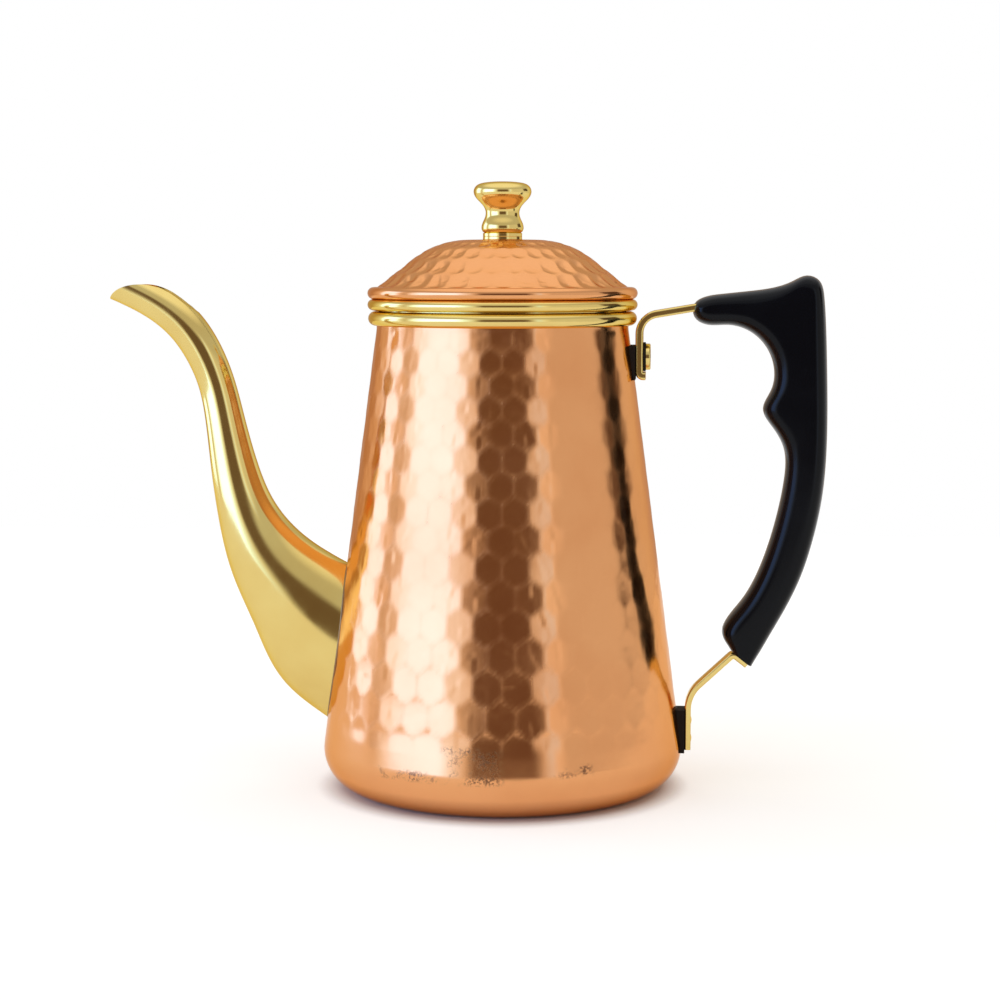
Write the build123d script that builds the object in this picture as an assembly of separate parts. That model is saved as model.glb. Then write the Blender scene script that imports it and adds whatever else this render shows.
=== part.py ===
from build123d import *
from math import atan, cos, radians, sin, tan
import os

# Goose-neck drip kettle with a lift-off lid, in millimetres.
# +Z is up, +X points to the grip and -X to the spout.
# The origin is on the pot's axis, in the plane that the pot stands on.

# Pot wall: a straight taper from the rounded foot up to a short neck.
WALL_FOOT_RADIUS = 65.9
NECK_RADIUS = 44.4
NECK_HEIGHT = 163.2
WALL = 1.0
FOOT_ROUNDING = 14.0

# Base: the wall turns in as a flange, and a joggled disc closes it.
FLANGE_WIDTH = 6.9
SEAM_LAP = 4.0
SOLDER_GAP = 0.05

# Rim: a brass strip rolled round a wire on the neck's edge.
RIM_OVERHANG = 2.9
RIM_THICKNESS = 5.0
RIM_ABOVE_NECK = 1.0
RIM_LIP = 1.4
RIM_WIRE_RADIUS = 1.1
WIRE_CLEARANCE = 0.08
RIM_STRIP = 0.6

# Lid: a brass collar with a skirt in the neck, under a copper dome with a curled edge.
LID_GAP = 0.3
LID_OVERHANG = 3.1
COLLAR_THICKNESS = 3.9
CURL_THICKNESS = 4.2
SKIRT_DEPTH = 9.5
SKIRT_CLEARANCE = 0.35
LID_SHEET = 0.8
LID_WIRE_RADIUS = 1.22
DOME_RISE = 20.7
CROWN_RADIUS = 12.0
DOME_SLOPE = 38.0
DOME_EDGE_ANGLE = 118.0
CURL_SLOT = 0.5

# Knob: turned brass on a ring, held by a screw from below.
KNOB_RING_RADIUS = 6.9
KNOB_RING_HEIGHT = 2.7
KNOB_GROOVE = 0.5
KNOB_FOOT_RADIUS = 6.85
KNOB_BULGE_RADIUS = 7.4
KNOB_BULGE_AT = 1.7
KNOB_WAIST_RADIUS = 5.9
KNOB_WAIST_AT = 6.7
KNOB_CAP_RADIUS = 10.15
KNOB_CAP_AT = 14.1
KNOB_SHOULDER_RADIUS = 9.25
KNOB_SHOULDER_AT = 16.1
KNOB_CROWN_RADIUS = 6.5
KNOB_CROWN_AT = 17.2
KNOB_HEIGHT = 17.6
KNOB_SCREW_RADIUS = 2.0
KNOB_SCREW_GRIP = 10.0
KNOB_SCREW_HEAD_RADIUS = 3.8
KNOB_SCREW_HEAD = 2.2
KNOB_WASHER_RADIUS = 5.5
KNOB_WASHER = 0.8

# Spout: its line runs from inside the wall to the tip above the rim.
# Each station is a share of the reach, a share of the rise, half the height and half the width.
SPOUT_ROOT_HEIGHT = 53.2
SPOUT_REACH = 80.5
SPOUT_TIP_ABOVE_RIM = 10.4
SPOUT_WALL = 1.0
SPOUT_STATIONS = (
    (-0.273, -0.111, 28.5, 15.0),
    (-0.095, -0.043, 27.3, 15.0),
    (0.025, 0.008, 26.0, 14.5),
    (0.205, 0.127, 19.2, 13.2),
    (0.329, 0.233, 14.4, 11.6),
    (0.416, 0.352, 10.5, 9.8),
    (0.470, 0.483, 8.3, 8.1),
    (0.507, 0.609, 7.0, 7.0),
    (0.547, 0.720, 6.5, 6.5),
    (0.602, 0.803, 6.6, 6.5),
    (0.689, 0.882, 6.7, 6.5),
    (0.826, 0.948, 6.45, 6.3),
    (1.000, 1.000, 6.3, 6.2),
)
# The mouth's rim as offsets from the tip, from under the beak back along the top.
MOUTH_RIM = ((-3.4, -9.6), (1.2, -3.9), (8.6, -1.2), (18.5, -2.9), (30.5, -11.6))
MOUTH_CUT_WIDTH = 40.0
MOUTH_CUT_HEIGHT = 30.0
PORT_HALF_HEIGHT = 18.0
PORT_HALF_WIDTH = 9.0

# Brackets: two brass straps, each on a dark pad that is a little wider.
UPPER_STRAP = 2.6
UPPER_STRAP_WIDTH = 12.0
LOWER_STRAP = 2.2
LOWER_STRAP_WIDTH = 6.5
STRAP_EDGE = 0.6
PAD_MARGIN = 1.0
UPPER_FOOT_BELOW_NECK = 17.9
UPPER_PAD_LEAST = 0.2
UPPER_PAD_HEIGHT = 12.0
UPPER_LIP = 2.2
UPPER_LIP_BEND = 1.5
UPPER_CORNER_ABOVE_NECK = 4.1
UPPER_BEND = 7.0
UPPER_RUN = 18.6
UPPER_RISE_ANGLE = 9.5
TANG_LENGTH = 20.0
TANG_GAP = 0.05
LOWER_FOOT_HEIGHT = 13.7
LOWER_PAD_LEAST = 1.1
LOWER_PAD_HEIGHT = 15.5
LOWER_CORNER_HEIGHT = 33.4
LOWER_BEND = 12.0
TAB_LENGTH = 6.1
TAB_BEND = 1.6

# Upper fixing: a pan-head screw through washer, strap, pad and wall into a domed nut.
UPPER_SCREW_BELOW_NECK = 9.9
UPPER_SCREW_RADIUS = 2.0
UPPER_HEAD_RADIUS = 4.6
UPPER_HEAD = 1.6
UPPER_HEAD_EDGE = 0.5
UPPER_WASHER_RADIUS = 5.1
UPPER_WASHER = 1.0
UPPER_SEAL_RADIUS = 5.2
UPPER_SEAL = 1.2
UPPER_NUT_RADIUS = 4.4
UPPER_NUT = 4.2
UPPER_NUT_DOME = 1.4
THREAD_CLEARANCE = 0.05
HOLE_CLEARANCE = 0.1

# Lower fixing: flush rivets with a flat head inside the pot.
RIVET_HEIGHTS = (17.5, 24.0)
RIVET_RADIUS = 1.4
RIVET_HEAD_RADIUS = 2.8
RIVET_HEAD = 1.2

# Grip: its outline as shares of the reach and the drop from the nose, round from the nose's tip.
GRIP_REACH = 47.3
GRIP_DROP = 125.7
GRIP_DEPTH = 18.0
GRIP_EDGE = 2.6
GRIP_OUTLINE = (
    (0.011, -0.025),
    (0.089, -0.045),
    (0.264, -0.047),
    (0.425, -0.066),
    (0.556, -0.117),
    (0.602, -0.173),
    (0.580, -0.229),
    (0.523, -0.280),
    (0.600, -0.334),
    (0.684, -0.397),
    (0.684, -0.479),
    (0.624, -0.594),
    (0.531, -0.708),
    (0.374, -0.823),
    (0.266, -0.877),
    (0.237, -0.907),
    (0.258, -0.933),
    (0.298, -0.956),
    (0.316, -0.990),
    (0.310, -1.035),
    (0.350, -1.082),
    (0.430, -1.084),
    (0.475, -1.038),
    (0.474, -0.998),
    (0.512, -0.970),
    (0.664, -0.868),
    (0.808, -0.757),
    (0.902, -0.645),
    (0.963, -0.532),
    (0.995, -0.368),
    (0.990, -0.185),
    (0.975, -0.041),
    (0.960, 0.032),
    (0.920, 0.077),
    (0.835, 0.090),
    (0.732, 0.075),
    (0.594, 0.057),
    (0.412, 0.047),
    (0.211, 0.039),
    (0.089, 0.031),
    (0.011, 0.012),
)
# The end face starts at these shares of the reach and the drop.
END_FACE_START = (0.338, -0.965)
END_FACE_ANGLE = 38.0
END_CUT = 40.0

# Grip fixing: a countersunk screw through the tab into a threaded insert.
GRIP_SCREW_ALONG_TAB = 3.6
GRIP_SCREW_RADIUS = 1.25
GRIP_SCREW_HEAD_RADIUS = 2.0
GRIP_SCREW_HEAD = 0.9
GRIP_SCREW_LENGTH = 9.5
INSERT_RADIUS = 2.4
INSERT_LENGTH = 8.0

# Places that follow from the sizes above.
wall_lean = atan((WALL_FOOT_RADIUS - NECK_RADIUS) / NECK_HEIGHT)
flange_radius = WALL_FOOT_RADIUS - FOOT_ROUNDING - FLANGE_WIDTH
rim_radius = NECK_RADIUS + RIM_OVERHANG
lid_radius = NECK_RADIUS + LID_OVERHANG
rim_bottom = NECK_HEIGHT + RIM_ABOVE_NECK
rim_top = rim_bottom + RIM_THICKNESS
neck_top = rim_top - RIM_LIP
collar_bottom = rim_top + LID_GAP
collar_top = collar_bottom + COLLAR_THICKNESS
curl_radius = CURL_THICKNESS / 2
curl_centre = (lid_radius - curl_radius, collar_top + curl_radius)
dome_top = collar_top + DOME_RISE
knob_ring_top = dome_top + KNOB_RING_HEIGHT
skirt_radius = NECK_RADIUS - WALL - SKIRT_CLEARANCE


def wall_radius(height):
    """Outer radius of the sloping wall at a height."""
    return NECK_RADIUS + (NECK_HEIGHT - height) * tan(wall_lean)


def turned(face):
    """A face drawn in the XZ plane, turned once round the pot's axis."""
    return revolve(Plane.XZ * face, Axis.Z, 360)


def ring(inner, outer, bottom, top):
    """A plain ring round the pot's axis."""
    corners = ((inner, bottom), (outer, bottom), (outer, top), (inner, top))
    return turned(make_face(Polyline(*corners, close=True)))


def torus(centre, radius):
    """A round bar bent to a ring round the pot's axis."""
    return turned(Pos(*centre) * Circle(radius))


def along_x(x_from, x_to, height, radius):
    """A round bar along X through the pot's middle plane."""
    plane = Plane(origin=(x_from, 0, height), x_dir=(0, 1, 0), z_dir=(1, 0, 0))
    return extrude(plane * Circle(radius), x_to - x_from)


def block(x_from, x_to, width, z_from, z_to):
    """A box that is centred on the middle plane."""
    centre = Pos((x_from + x_to) / 2, 0, (z_from + z_to) / 2)
    return centre * Box(x_to - x_from, width, z_to - z_from)


# Pot


def pot_volume(inset, top):
    """The space inside the pot's outer face, drawn in by an inset."""
    shift = inset / cos(wall_lean)
    foot = wall_radius(inset) - shift
    neck = NECK_RADIUS - inset
    bend = NECK_HEIGHT - (shift - inset) / tan(wall_lean)
    corners = ((0, inset), (foot, inset), (neck, bend), (neck, top), (0, top))
    outline = make_face(Polyline(*corners, close=True))
    foot_corner = outline.vertices().sort_by_distance((foot, inset, 0))[0]
    return turned(fillet(foot_corner, FOOT_ROUNDING - inset))


def upper_fixing_height():
    return NECK_HEIGHT - UPPER_SCREW_BELOW_NECK


def make_body_shell():
    shell = pot_volume(0, neck_top) - pot_volume(WALL, rim_top)
    shell -= Cylinder(flange_radius, 2 * WALL)
    root = Plane(origin=(0, 0, SPOUT_ROOT_HEIGHT), x_dir=(0, 1, 0), z_dir=(-1, 0, 0))
    shell -= extrude(root * Ellipse(PORT_HALF_WIDTH, PORT_HALF_HEIGHT), WALL_FOOT_RADIUS)
    hole = UPPER_SCREW_RADIUS + HOLE_CLEARANCE
    shell -= along_x(0, WALL_FOOT_RADIUS, upper_fixing_height(), hole)
    for height in RIVET_HEIGHTS:
        shell -= along_x(0, WALL_FOOT_RADIUS + WALL, height, RIVET_RADIUS + HOLE_CLEARANCE)
    return shell


def make_base_plate():
    edge = flange_radius - SOLDER_GAP
    lap = flange_radius + SEAM_LAP
    corners = (
        (0, 0),
        (edge, 0),
        (edge, WALL),
        (lap, WALL),
        (lap, 2 * WALL),
        (edge - WALL, 2 * WALL),
        (edge - WALL, WALL),
        (0, WALL),
    )
    return turned(make_face(Polyline(*corners, close=True)))


def rim_wire_centre():
    radius = rim_radius - RIM_STRIP - WIRE_CLEARANCE - RIM_WIRE_RADIUS
    return radius, rim_bottom + RIM_THICKNESS / 2


def make_rim_bead():
    round_radius = RIM_THICKNESS / 2
    inner = NECK_RADIUS - WALL
    bead = torus((rim_radius - round_radius, rim_bottom + round_radius), round_radius)
    bead -= ring(0, inner, rim_bottom - WALL, rim_top + WALL)
    bead -= ring(inner - WALL, NECK_RADIUS, rim_bottom - WALL, neck_top)
    bead -= torus(rim_wire_centre(), RIM_WIRE_RADIUS + WIRE_CLEARANCE)
    wire_radius, wire_height = rim_wire_centre()
    half_slot = CURL_SLOT / 2
    bead -= ring(inner, wire_radius, wire_height - half_slot, wire_height + half_slot)
    return bead


def make_rim_wire():
    return torus(rim_wire_centre(), RIM_WIRE_RADIUS)


# Spout


def spout_line():
    """Centres of the stations in the XZ plane, from inside the pot to the tip."""
    root_x = -wall_radius(SPOUT_ROOT_HEIGHT)
    rise = rim_top + SPOUT_TIP_ABOVE_RIM - SPOUT_ROOT_HEIGHT
    points = []
    for reach_share, rise_share, half_height, half_width in SPOUT_STATIONS:
        x = root_x - reach_share * SPOUT_REACH
        points.append((x, SPOUT_ROOT_HEIGHT + rise_share * rise))
    return points


def spout_loft(inset):
    """The goose-neck as a solid, drawn in by an inset and that much longer at each end."""
    centres = [Vector(x, 0, z) for x, z in spout_line()]
    last = len(centres) - 1
    centres[0] += (centres[0] - centres[1]).normalized() * inset
    centres[last] += (centres[last] - centres[last - 1]).normalized() * inset
    sections = []
    for index, centre in enumerate(centres):
        before = centres[max(index - 1, 0)]
        after = centres[min(index + 1, last)]
        along = (after - before).normalized()
        across = Vector(along.Z, 0, -along.X)
        half_height, half_width = SPOUT_STATIONS[index][2:]
        plane = Plane(origin=centre, x_dir=across, z_dir=along)
        sections.append(plane * Ellipse(half_height - inset, half_width - inset))
    return loft(sections)


def mouth_cutter():
    """Everything above the rim line of the beak."""
    tip_x, tip_z = spout_line()[-1]
    rim = [(tip_x + dx, tip_z + dz) for dx, dz in MOUTH_RIM]
    top = tip_z + MOUTH_CUT_HEIGHT
    rim_edge = Spline(*rim)
    rest = Polyline(rim[-1], (rim[-1][0], top), (rim[0][0], top), rim[0])
    face = make_face([rim_edge, *rest.edges()])
    return extrude(Plane.XZ * face, MOUTH_CUT_WIDTH / 2, both=True)


def make_spout():
    tube = spout_loft(0) - spout_loft(SPOUT_WALL)
    tube -= pot_volume(0, neck_top)
    tube -= mouth_cutter()
    return tube


# Brackets


def strap_along(points, bends, width, thickness):
    """A strap along straight runs and bends in the XZ plane."""
    path = Plane.XZ * FilletPolyline(*points, radius=bends)
    start = Plane(origin=path @ 0, x_dir=(0, 1, 0), z_dir=path % 0)
    section = start * RectangleRounded(width, thickness, STRAP_EDGE)
    return sweep(section, path)


def upper_strap_x():
    """X of the upper strap's middle where it stands on the wall."""
    foot_height = NECK_HEIGHT - UPPER_FOOT_BELOW_NECK
    return wall_radius(foot_height) + UPPER_PAD_LEAST + UPPER_STRAP / 2


def lower_strap_x():
    """X of the lower strap's middle where it stands on the wall."""
    return wall_radius(LOWER_FOOT_HEIGHT) + LOWER_PAD_LEAST + LOWER_STRAP / 2


def upper_run_point(distance):
    """A point on the middle of the upper strap's run, at a distance along X from its corner."""
    corner_height = NECK_HEIGHT + UPPER_CORNER_ABOVE_NECK
    rise = distance * tan(radians(UPPER_RISE_ANGLE))
    return upper_strap_x() + distance, corner_height + rise


def make_upper_bracket():
    foot_x = upper_strap_x()
    lip_height = NECK_HEIGHT - UPPER_FOOT_BELOW_NECK + UPPER_STRAP / 2
    points = (
        (foot_x + UPPER_LIP, lip_height),
        (foot_x, lip_height),
        upper_run_point(0),
        upper_run_point(UPPER_RUN + TANG_LENGTH),
    )
    bends = (UPPER_LIP_BEND, UPPER_BEND)
    bracket = strap_along(points, bends, UPPER_STRAP_WIDTH, UPPER_STRAP)
    hole = UPPER_SCREW_RADIUS + HOLE_CLEARANCE
    return bracket - along_x(0, foot_x + UPPER_STRAP, upper_fixing_height(), hole)


def wedge(inner_face_x, width, z_from, z_to):
    """A pad that fills the gap between the sloping wall and an upright strap."""
    pad = block(0, inner_face_x, width, z_from, z_to)
    return pad - pot_volume(0, neck_top)


def make_upper_pad():
    z_from = NECK_HEIGHT - UPPER_FOOT_BELOW_NECK
    width = UPPER_STRAP_WIDTH + 2 * PAD_MARGIN
    face_x = upper_strap_x() - UPPER_STRAP / 2
    pad = wedge(face_x, width, z_from, z_from + UPPER_PAD_HEIGHT)
    hole = UPPER_SCREW_RADIUS + HOLE_CLEARANCE
    return pad - along_x(0, WALL_FOOT_RADIUS, upper_fixing_height(), hole)


def end_face_point(along, out):
    """A point by the grip's end face: along it down and outwards, and out of the grip."""
    nose_x, nose_z = upper_run_point(UPPER_RUN)
    reach_share, drop_share = END_FACE_START
    start = Vector(nose_x + reach_share * GRIP_REACH, nose_z + drop_share * GRIP_DROP)
    angle = radians(END_FACE_ANGLE)
    down = Vector(cos(angle), -sin(angle))
    away = Vector(-sin(angle), -cos(angle))
    point = start + down * along + away * out
    return point.X, point.Y


def make_lower_bracket():
    foot_x = lower_strap_x()
    half = LOWER_STRAP / 2
    points = (
        (foot_x, LOWER_FOOT_HEIGHT),
        (foot_x, LOWER_CORNER_HEIGHT),
        end_face_point(0, half),
        end_face_point(TAB_LENGTH, half),
    )
    bends = (LOWER_BEND, TAB_BEND)
    bracket = strap_along(points, bends, LOWER_STRAP_WIDTH, LOWER_STRAP)
    for height in RIVET_HEIGHTS:
        bracket -= along_x(0, foot_x + LOWER_STRAP, height, RIVET_RADIUS + HOLE_CLEARANCE)
    hole = GRIP_SCREW_RADIUS + HOLE_CLEARANCE
    bracket -= grip_screw_bar(hole, -LOWER_STRAP, 2 * LOWER_STRAP)
    return bracket - countersink(HOLE_CLEARANCE)


def make_lower_pad():
    face_x = lower_strap_x() - LOWER_STRAP / 2
    width = LOWER_STRAP_WIDTH + 2 * PAD_MARGIN
    z_from = LOWER_FOOT_HEIGHT - PAD_MARGIN
    pad = wedge(face_x, width, z_from, z_from + LOWER_PAD_HEIGHT)
    for height in RIVET_HEIGHTS:
        pad -= along_x(0, face_x + PAD_MARGIN, height, RIVET_RADIUS + HOLE_CLEARANCE)
    return pad


# Fixings on the wall


def make_upper_washer():
    face_x = upper_strap_x() + UPPER_STRAP / 2
    outer_x = face_x + UPPER_WASHER
    height = upper_fixing_height()
    washer = along_x(face_x, outer_x, height, UPPER_WASHER_RADIUS)
    return washer - along_x(face_x, outer_x, height, UPPER_SCREW_RADIUS + HOLE_CLEARANCE)


def seal_inner_x():
    """X of the flat inner face of the seal, inside the pot."""
    return wall_radius(upper_fixing_height()) - WALL - 2 * UPPER_SEAL


def make_upper_seal():
    height = upper_fixing_height()
    seal = along_x(seal_inner_x(), WALL_FOOT_RADIUS, height, UPPER_SEAL_RADIUS)
    seal = seal & pot_volume(WALL, neck_top)
    return seal - along_x(0, WALL_FOOT_RADIUS, height, UPPER_SCREW_RADIUS + HOLE_CLEARANCE)


def make_upper_nut():
    height = upper_fixing_height()
    face_x = seal_inner_x()
    nut = along_x(face_x - UPPER_NUT, face_x, height, UPPER_NUT_RADIUS)
    inner_edge = nut.edges().group_by(Axis.X)[0]
    nut = fillet(inner_edge, UPPER_NUT_DOME)
    depth = UPPER_NUT - UPPER_NUT_DOME
    return nut - along_x(face_x - depth, face_x, height, UPPER_SCREW_RADIUS + THREAD_CLEARANCE)


def make_upper_screw():
    height = upper_fixing_height()
    head_x = upper_strap_x() + UPPER_STRAP / 2 + UPPER_WASHER
    head = along_x(head_x, head_x + UPPER_HEAD, height, UPPER_HEAD_RADIUS)
    head = fillet(head.edges().group_by(Axis.X)[-1], UPPER_HEAD_EDGE)
    tip_x = seal_inner_x() - UPPER_NUT + UPPER_NUT_DOME + HOLE_CLEARANCE
    return head + along_x(tip_x, head_x, height, UPPER_SCREW_RADIUS)


def make_lower_rivets():
    outer_x = lower_strap_x() + LOWER_STRAP / 2
    rivets = []
    for height in RIVET_HEIGHTS:
        inner_x = wall_radius(height) - WALL - RIVET_HEAD
        head = along_x(inner_x, WALL_FOOT_RADIUS, height, RIVET_HEAD_RADIUS)
        head = head & pot_volume(WALL, neck_top)
        rivets.append(head + along_x(inner_x, outer_x, height, RIVET_RADIUS))
    return Compound(children=rivets)


# Grip


def make_grip():
    nose_x, nose_z = upper_run_point(UPPER_RUN)
    points = [(nose_x + x * GRIP_REACH, nose_z + z * GRIP_DROP) for x, z in GRIP_OUTLINE]
    outline = make_face(Spline(*points, periodic=True))
    grip = extrude(Plane.XZ * outline, GRIP_DEPTH / 2, both=True)
    grip = fillet(grip.faces().filter_by(Axis.Y).edges(), GRIP_EDGE)
    grip -= extrude(end_face_plane(0) * Rectangle(END_CUT, END_CUT), -END_CUT)
    grip -= tang_space()
    return grip - grip_screw_bar(INSERT_RADIUS, 0, INSERT_LENGTH)


def tang_space():
    """The upper strap's straight run, with a small clearance round it in the grip."""
    start = upper_run_point(UPPER_RUN / 2)
    end = upper_run_point(UPPER_RUN + TANG_LENGTH + TANG_GAP)
    path = Plane.XZ * Line(start, end)
    plane = Plane(origin=path @ 0, x_dir=(0, 1, 0), z_dir=path % 0)
    width = UPPER_STRAP_WIDTH + 2 * TANG_GAP
    section = RectangleRounded(width, UPPER_STRAP + 2 * TANG_GAP, STRAP_EDGE)
    return sweep(plane * section, path)


def end_face_plane(along):
    """The plane of the end face at a distance along it, with its normal into the grip."""
    x, z = end_face_point(along, 0)
    angle = radians(END_FACE_ANGLE)
    return Plane(origin=(x, 0, z), x_dir=(0, 1, 0), z_dir=(sin(angle), 0, cos(angle)))


def grip_screw_bar(radius, start, length):
    """A round bar on the grip screw's axis, from a depth past the end face."""
    plane = end_face_plane(GRIP_SCREW_ALONG_TAB).offset(start)
    return extrude(plane * Circle(radius), length)


def countersink(clearance):
    """The cone of the grip screw's head, flush with the tab's outer face."""
    plane = end_face_plane(GRIP_SCREW_ALONG_TAB)
    outer = plane.offset(-LOWER_STRAP) * Circle(GRIP_SCREW_HEAD_RADIUS + clearance)
    throat = plane.offset(GRIP_SCREW_HEAD - LOWER_STRAP)
    inner = throat * Circle(GRIP_SCREW_RADIUS + clearance)
    return loft([outer, inner], ruled=True)


def make_grip_insert():
    insert = grip_screw_bar(INSERT_RADIUS, 0, INSERT_LENGTH)
    return insert - grip_screw_bar(GRIP_SCREW_RADIUS + THREAD_CLEARANCE, 0, INSERT_LENGTH)


def make_grip_screw():
    start = GRIP_SCREW_HEAD - LOWER_STRAP
    length = GRIP_SCREW_LENGTH - GRIP_SCREW_HEAD
    return countersink(0) + grip_screw_bar(GRIP_SCREW_RADIUS, start, length)


# Lid


def dome_band(inset):
    """Points and arc of the dome's outer face, drawn in by an inset."""
    slope = radians(DOME_SLOPE)
    edge_angle = radians(DOME_EDGE_ANGLE)
    edge_r = curl_centre[0] + curl_radius * cos(edge_angle)
    edge_z = curl_centre[1] + curl_radius * sin(edge_angle)
    drop = dome_top - edge_z
    arc_radius = (tan(slope) * (edge_r - CROWN_RADIUS) - drop) / (1 / cos(slope) - 1)
    centre_z = dome_top - arc_radius
    radius = arc_radius - inset
    start = (CROWN_RADIUS, dome_top - inset)
    middle = (CROWN_RADIUS + radius * sin(slope / 2), centre_z + radius * cos(slope / 2))
    end = (CROWN_RADIUS + radius * sin(slope), centre_z + radius * cos(slope))
    foot = (edge_r - inset * sin(slope), edge_z - inset * cos(slope))
    return start, middle, end, foot


def dome_sheet():
    """The dome's sheet from the knob's hole out to the curl."""
    hole = KNOB_SCREW_RADIUS + HOLE_CLEARANCE
    outer = dome_band(0)
    inner = dome_band(LID_SHEET)
    edges = [
        Line((hole, dome_top), outer[0]),
        ThreePointArc(*outer[:3]),
        Line(outer[2], outer[3]),
        Line(outer[3], inner[3]),
        Line(inner[3], inner[2]),
        ThreePointArc(inner[2], inner[1], inner[0]),
        Line(inner[0], (hole, dome_top - LID_SHEET)),
        Line((hole, dome_top - LID_SHEET), (hole, dome_top)),
    ]
    return turned(make_face(edges))


def make_lid_dome():
    dome = dome_sheet() + torus(curl_centre, curl_radius)
    dome -= torus(curl_centre, LID_WIRE_RADIUS + WIRE_CLEARANCE)
    slot_top = curl_centre[1] - CURL_SLOT / 2
    inner = curl_centre[0] - 2 * curl_radius
    return dome - ring(inner, curl_centre[0], slot_top - CURL_SLOT, slot_top)


def make_lid_wire():
    return torus(curl_centre, LID_WIRE_RADIUS)


def make_lid_collar():
    bead_radius = COLLAR_THICKNESS / 2
    bead_centre = (lid_radius - bead_radius, collar_bottom + bead_radius)
    skirt_inner = skirt_radius - LID_SHEET
    collar = torus(bead_centre, bead_radius)
    collar += ring(skirt_inner, bead_centre[0], collar_top - LID_SHEET, collar_top)
    collar += ring(skirt_inner, skirt_radius, collar_bottom - SKIRT_DEPTH, collar_top)
    collar -= torus(bead_centre, bead_radius - LID_SHEET)
    half_slot = CURL_SLOT / 2
    slot_inner = bead_centre[0] - bead_radius
    slot_bottom = bead_centre[1] - half_slot
    return collar - ring(slot_inner, bead_centre[0], slot_bottom, slot_bottom + CURL_SLOT)


def make_knob_ring():
    hole = KNOB_SCREW_RADIUS + HOLE_CLEARANCE
    body = ring(hole, KNOB_RING_RADIUS, dome_top, knob_ring_top)
    outer_edges = body.edges().filter_by(GeomType.CIRCLE).group_by(SortBy.RADIUS)[-1]
    return chamfer(outer_edges.sort_by(Axis.Z)[-1], KNOB_GROOVE)


def make_knob():
    base = knob_ring_top
    foot = (KNOB_FOOT_RADIUS, base)
    bulge = (KNOB_BULGE_RADIUS, base + KNOB_BULGE_AT)
    waist = (KNOB_WAIST_RADIUS, base + KNOB_WAIST_AT)
    cap = (KNOB_CAP_RADIUS, base + KNOB_CAP_AT)
    top = (0, base + KNOB_HEIGHT)
    shoulder = (KNOB_SHOULDER_RADIUS, base + KNOB_SHOULDER_AT)
    crown = (KNOB_CROWN_RADIUS, base + KNOB_CROWN_AT)
    up = (0, 1)
    edges = [
        Line((0, base), foot),
        Spline(foot, bulge, tangents=((1, 1), up)),
        Spline(bulge, waist, tangents=(up, up)),
        Spline(waist, cap, tangents=(up, up)),
        Spline(cap, shoulder, crown, top, tangents=(up, (-1, 0))),
        Line(top, (0, base)),
    ]
    knob = turned(make_face(edges))
    bore = Pos(0, 0, base) * Cylinder(
        KNOB_SCREW_RADIUS + THREAD_CLEARANCE,
        KNOB_SCREW_GRIP + 2 * HOLE_CLEARANCE,
        align=(Align.CENTER, Align.CENTER, Align.MIN),
    )
    return knob - bore


def make_knob_washer():
    top = dome_top - LID_SHEET
    hole = KNOB_SCREW_RADIUS + HOLE_CLEARANCE
    return ring(hole, KNOB_WASHER_RADIUS, top - KNOB_WASHER, top)


def make_knob_screw():
    seat = dome_top - LID_SHEET - KNOB_WASHER
    head = ring(0, KNOB_SCREW_HEAD_RADIUS, seat - KNOB_SCREW_HEAD, seat)
    return head + ring(0, KNOB_SCREW_RADIUS, seat, knob_ring_top + KNOB_SCREW_GRIP)


def make_nodes():
    return {
        "body_shell": make_body_shell(),
        "base_plate": make_base_plate(),
        "rim_bead": make_rim_bead(),
        "rim_wire": make_rim_wire(),
        "spout": make_spout(),
        "upper_bracket": make_upper_bracket(),
        "upper_pad": make_upper_pad(),
        "upper_washer": make_upper_washer(),
        "upper_screw": make_upper_screw(),
        "upper_seal": make_upper_seal(),
        "upper_nut": make_upper_nut(),
        "lower_bracket": make_lower_bracket(),
        "lower_pad": make_lower_pad(),
        "lower_rivets": make_lower_rivets(),
        "grip": make_grip(),
        "grip_insert": make_grip_insert(),
        "grip_screw": make_grip_screw(),
        "lid_dome": make_lid_dome(),
        "lid_wire": make_lid_wire(),
        "lid_collar": make_lid_collar(),
        "knob": make_knob(),
        "knob_ring": make_knob_ring(),
        "knob_screw": make_knob_screw(),
        "knob_washer": make_knob_washer(),
    }


os.makedirs("parts", exist_ok=True)
for name, shape in make_nodes().items():
    export_step(shape, f"parts/{name}.step")
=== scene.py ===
import math

import bmesh
import bpy
import numpy as np
from bpy.props import FloatProperty, FloatVectorProperty, IntProperty, PointerProperty
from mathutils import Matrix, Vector


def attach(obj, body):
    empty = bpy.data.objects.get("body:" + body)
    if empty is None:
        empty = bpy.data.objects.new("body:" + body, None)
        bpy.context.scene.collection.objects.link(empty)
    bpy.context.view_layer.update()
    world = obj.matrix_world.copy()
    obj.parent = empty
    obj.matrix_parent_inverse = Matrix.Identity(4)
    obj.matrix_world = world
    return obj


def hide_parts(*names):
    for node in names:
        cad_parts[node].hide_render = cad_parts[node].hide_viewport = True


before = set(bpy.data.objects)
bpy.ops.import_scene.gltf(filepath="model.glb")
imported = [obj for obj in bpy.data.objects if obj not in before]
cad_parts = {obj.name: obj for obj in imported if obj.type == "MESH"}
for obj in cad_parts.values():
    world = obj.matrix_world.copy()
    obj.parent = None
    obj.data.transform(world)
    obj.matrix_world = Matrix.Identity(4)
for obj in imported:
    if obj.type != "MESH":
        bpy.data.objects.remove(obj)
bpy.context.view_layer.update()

bl_info = {
    "name": "Goose-neck kettle",
    "version": (1, 0, 0),
    "blender": (4, 5, 0),
    "location": "View3D > Sidebar > Kettle",
    "description": "Builds the looks of a hammered copper kettle round its CAD frame",
    "category": "Add Mesh",
}

MM = 0.001
FULL_TURN = 2 * math.pi


# Sizes and colours that a user would change


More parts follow.
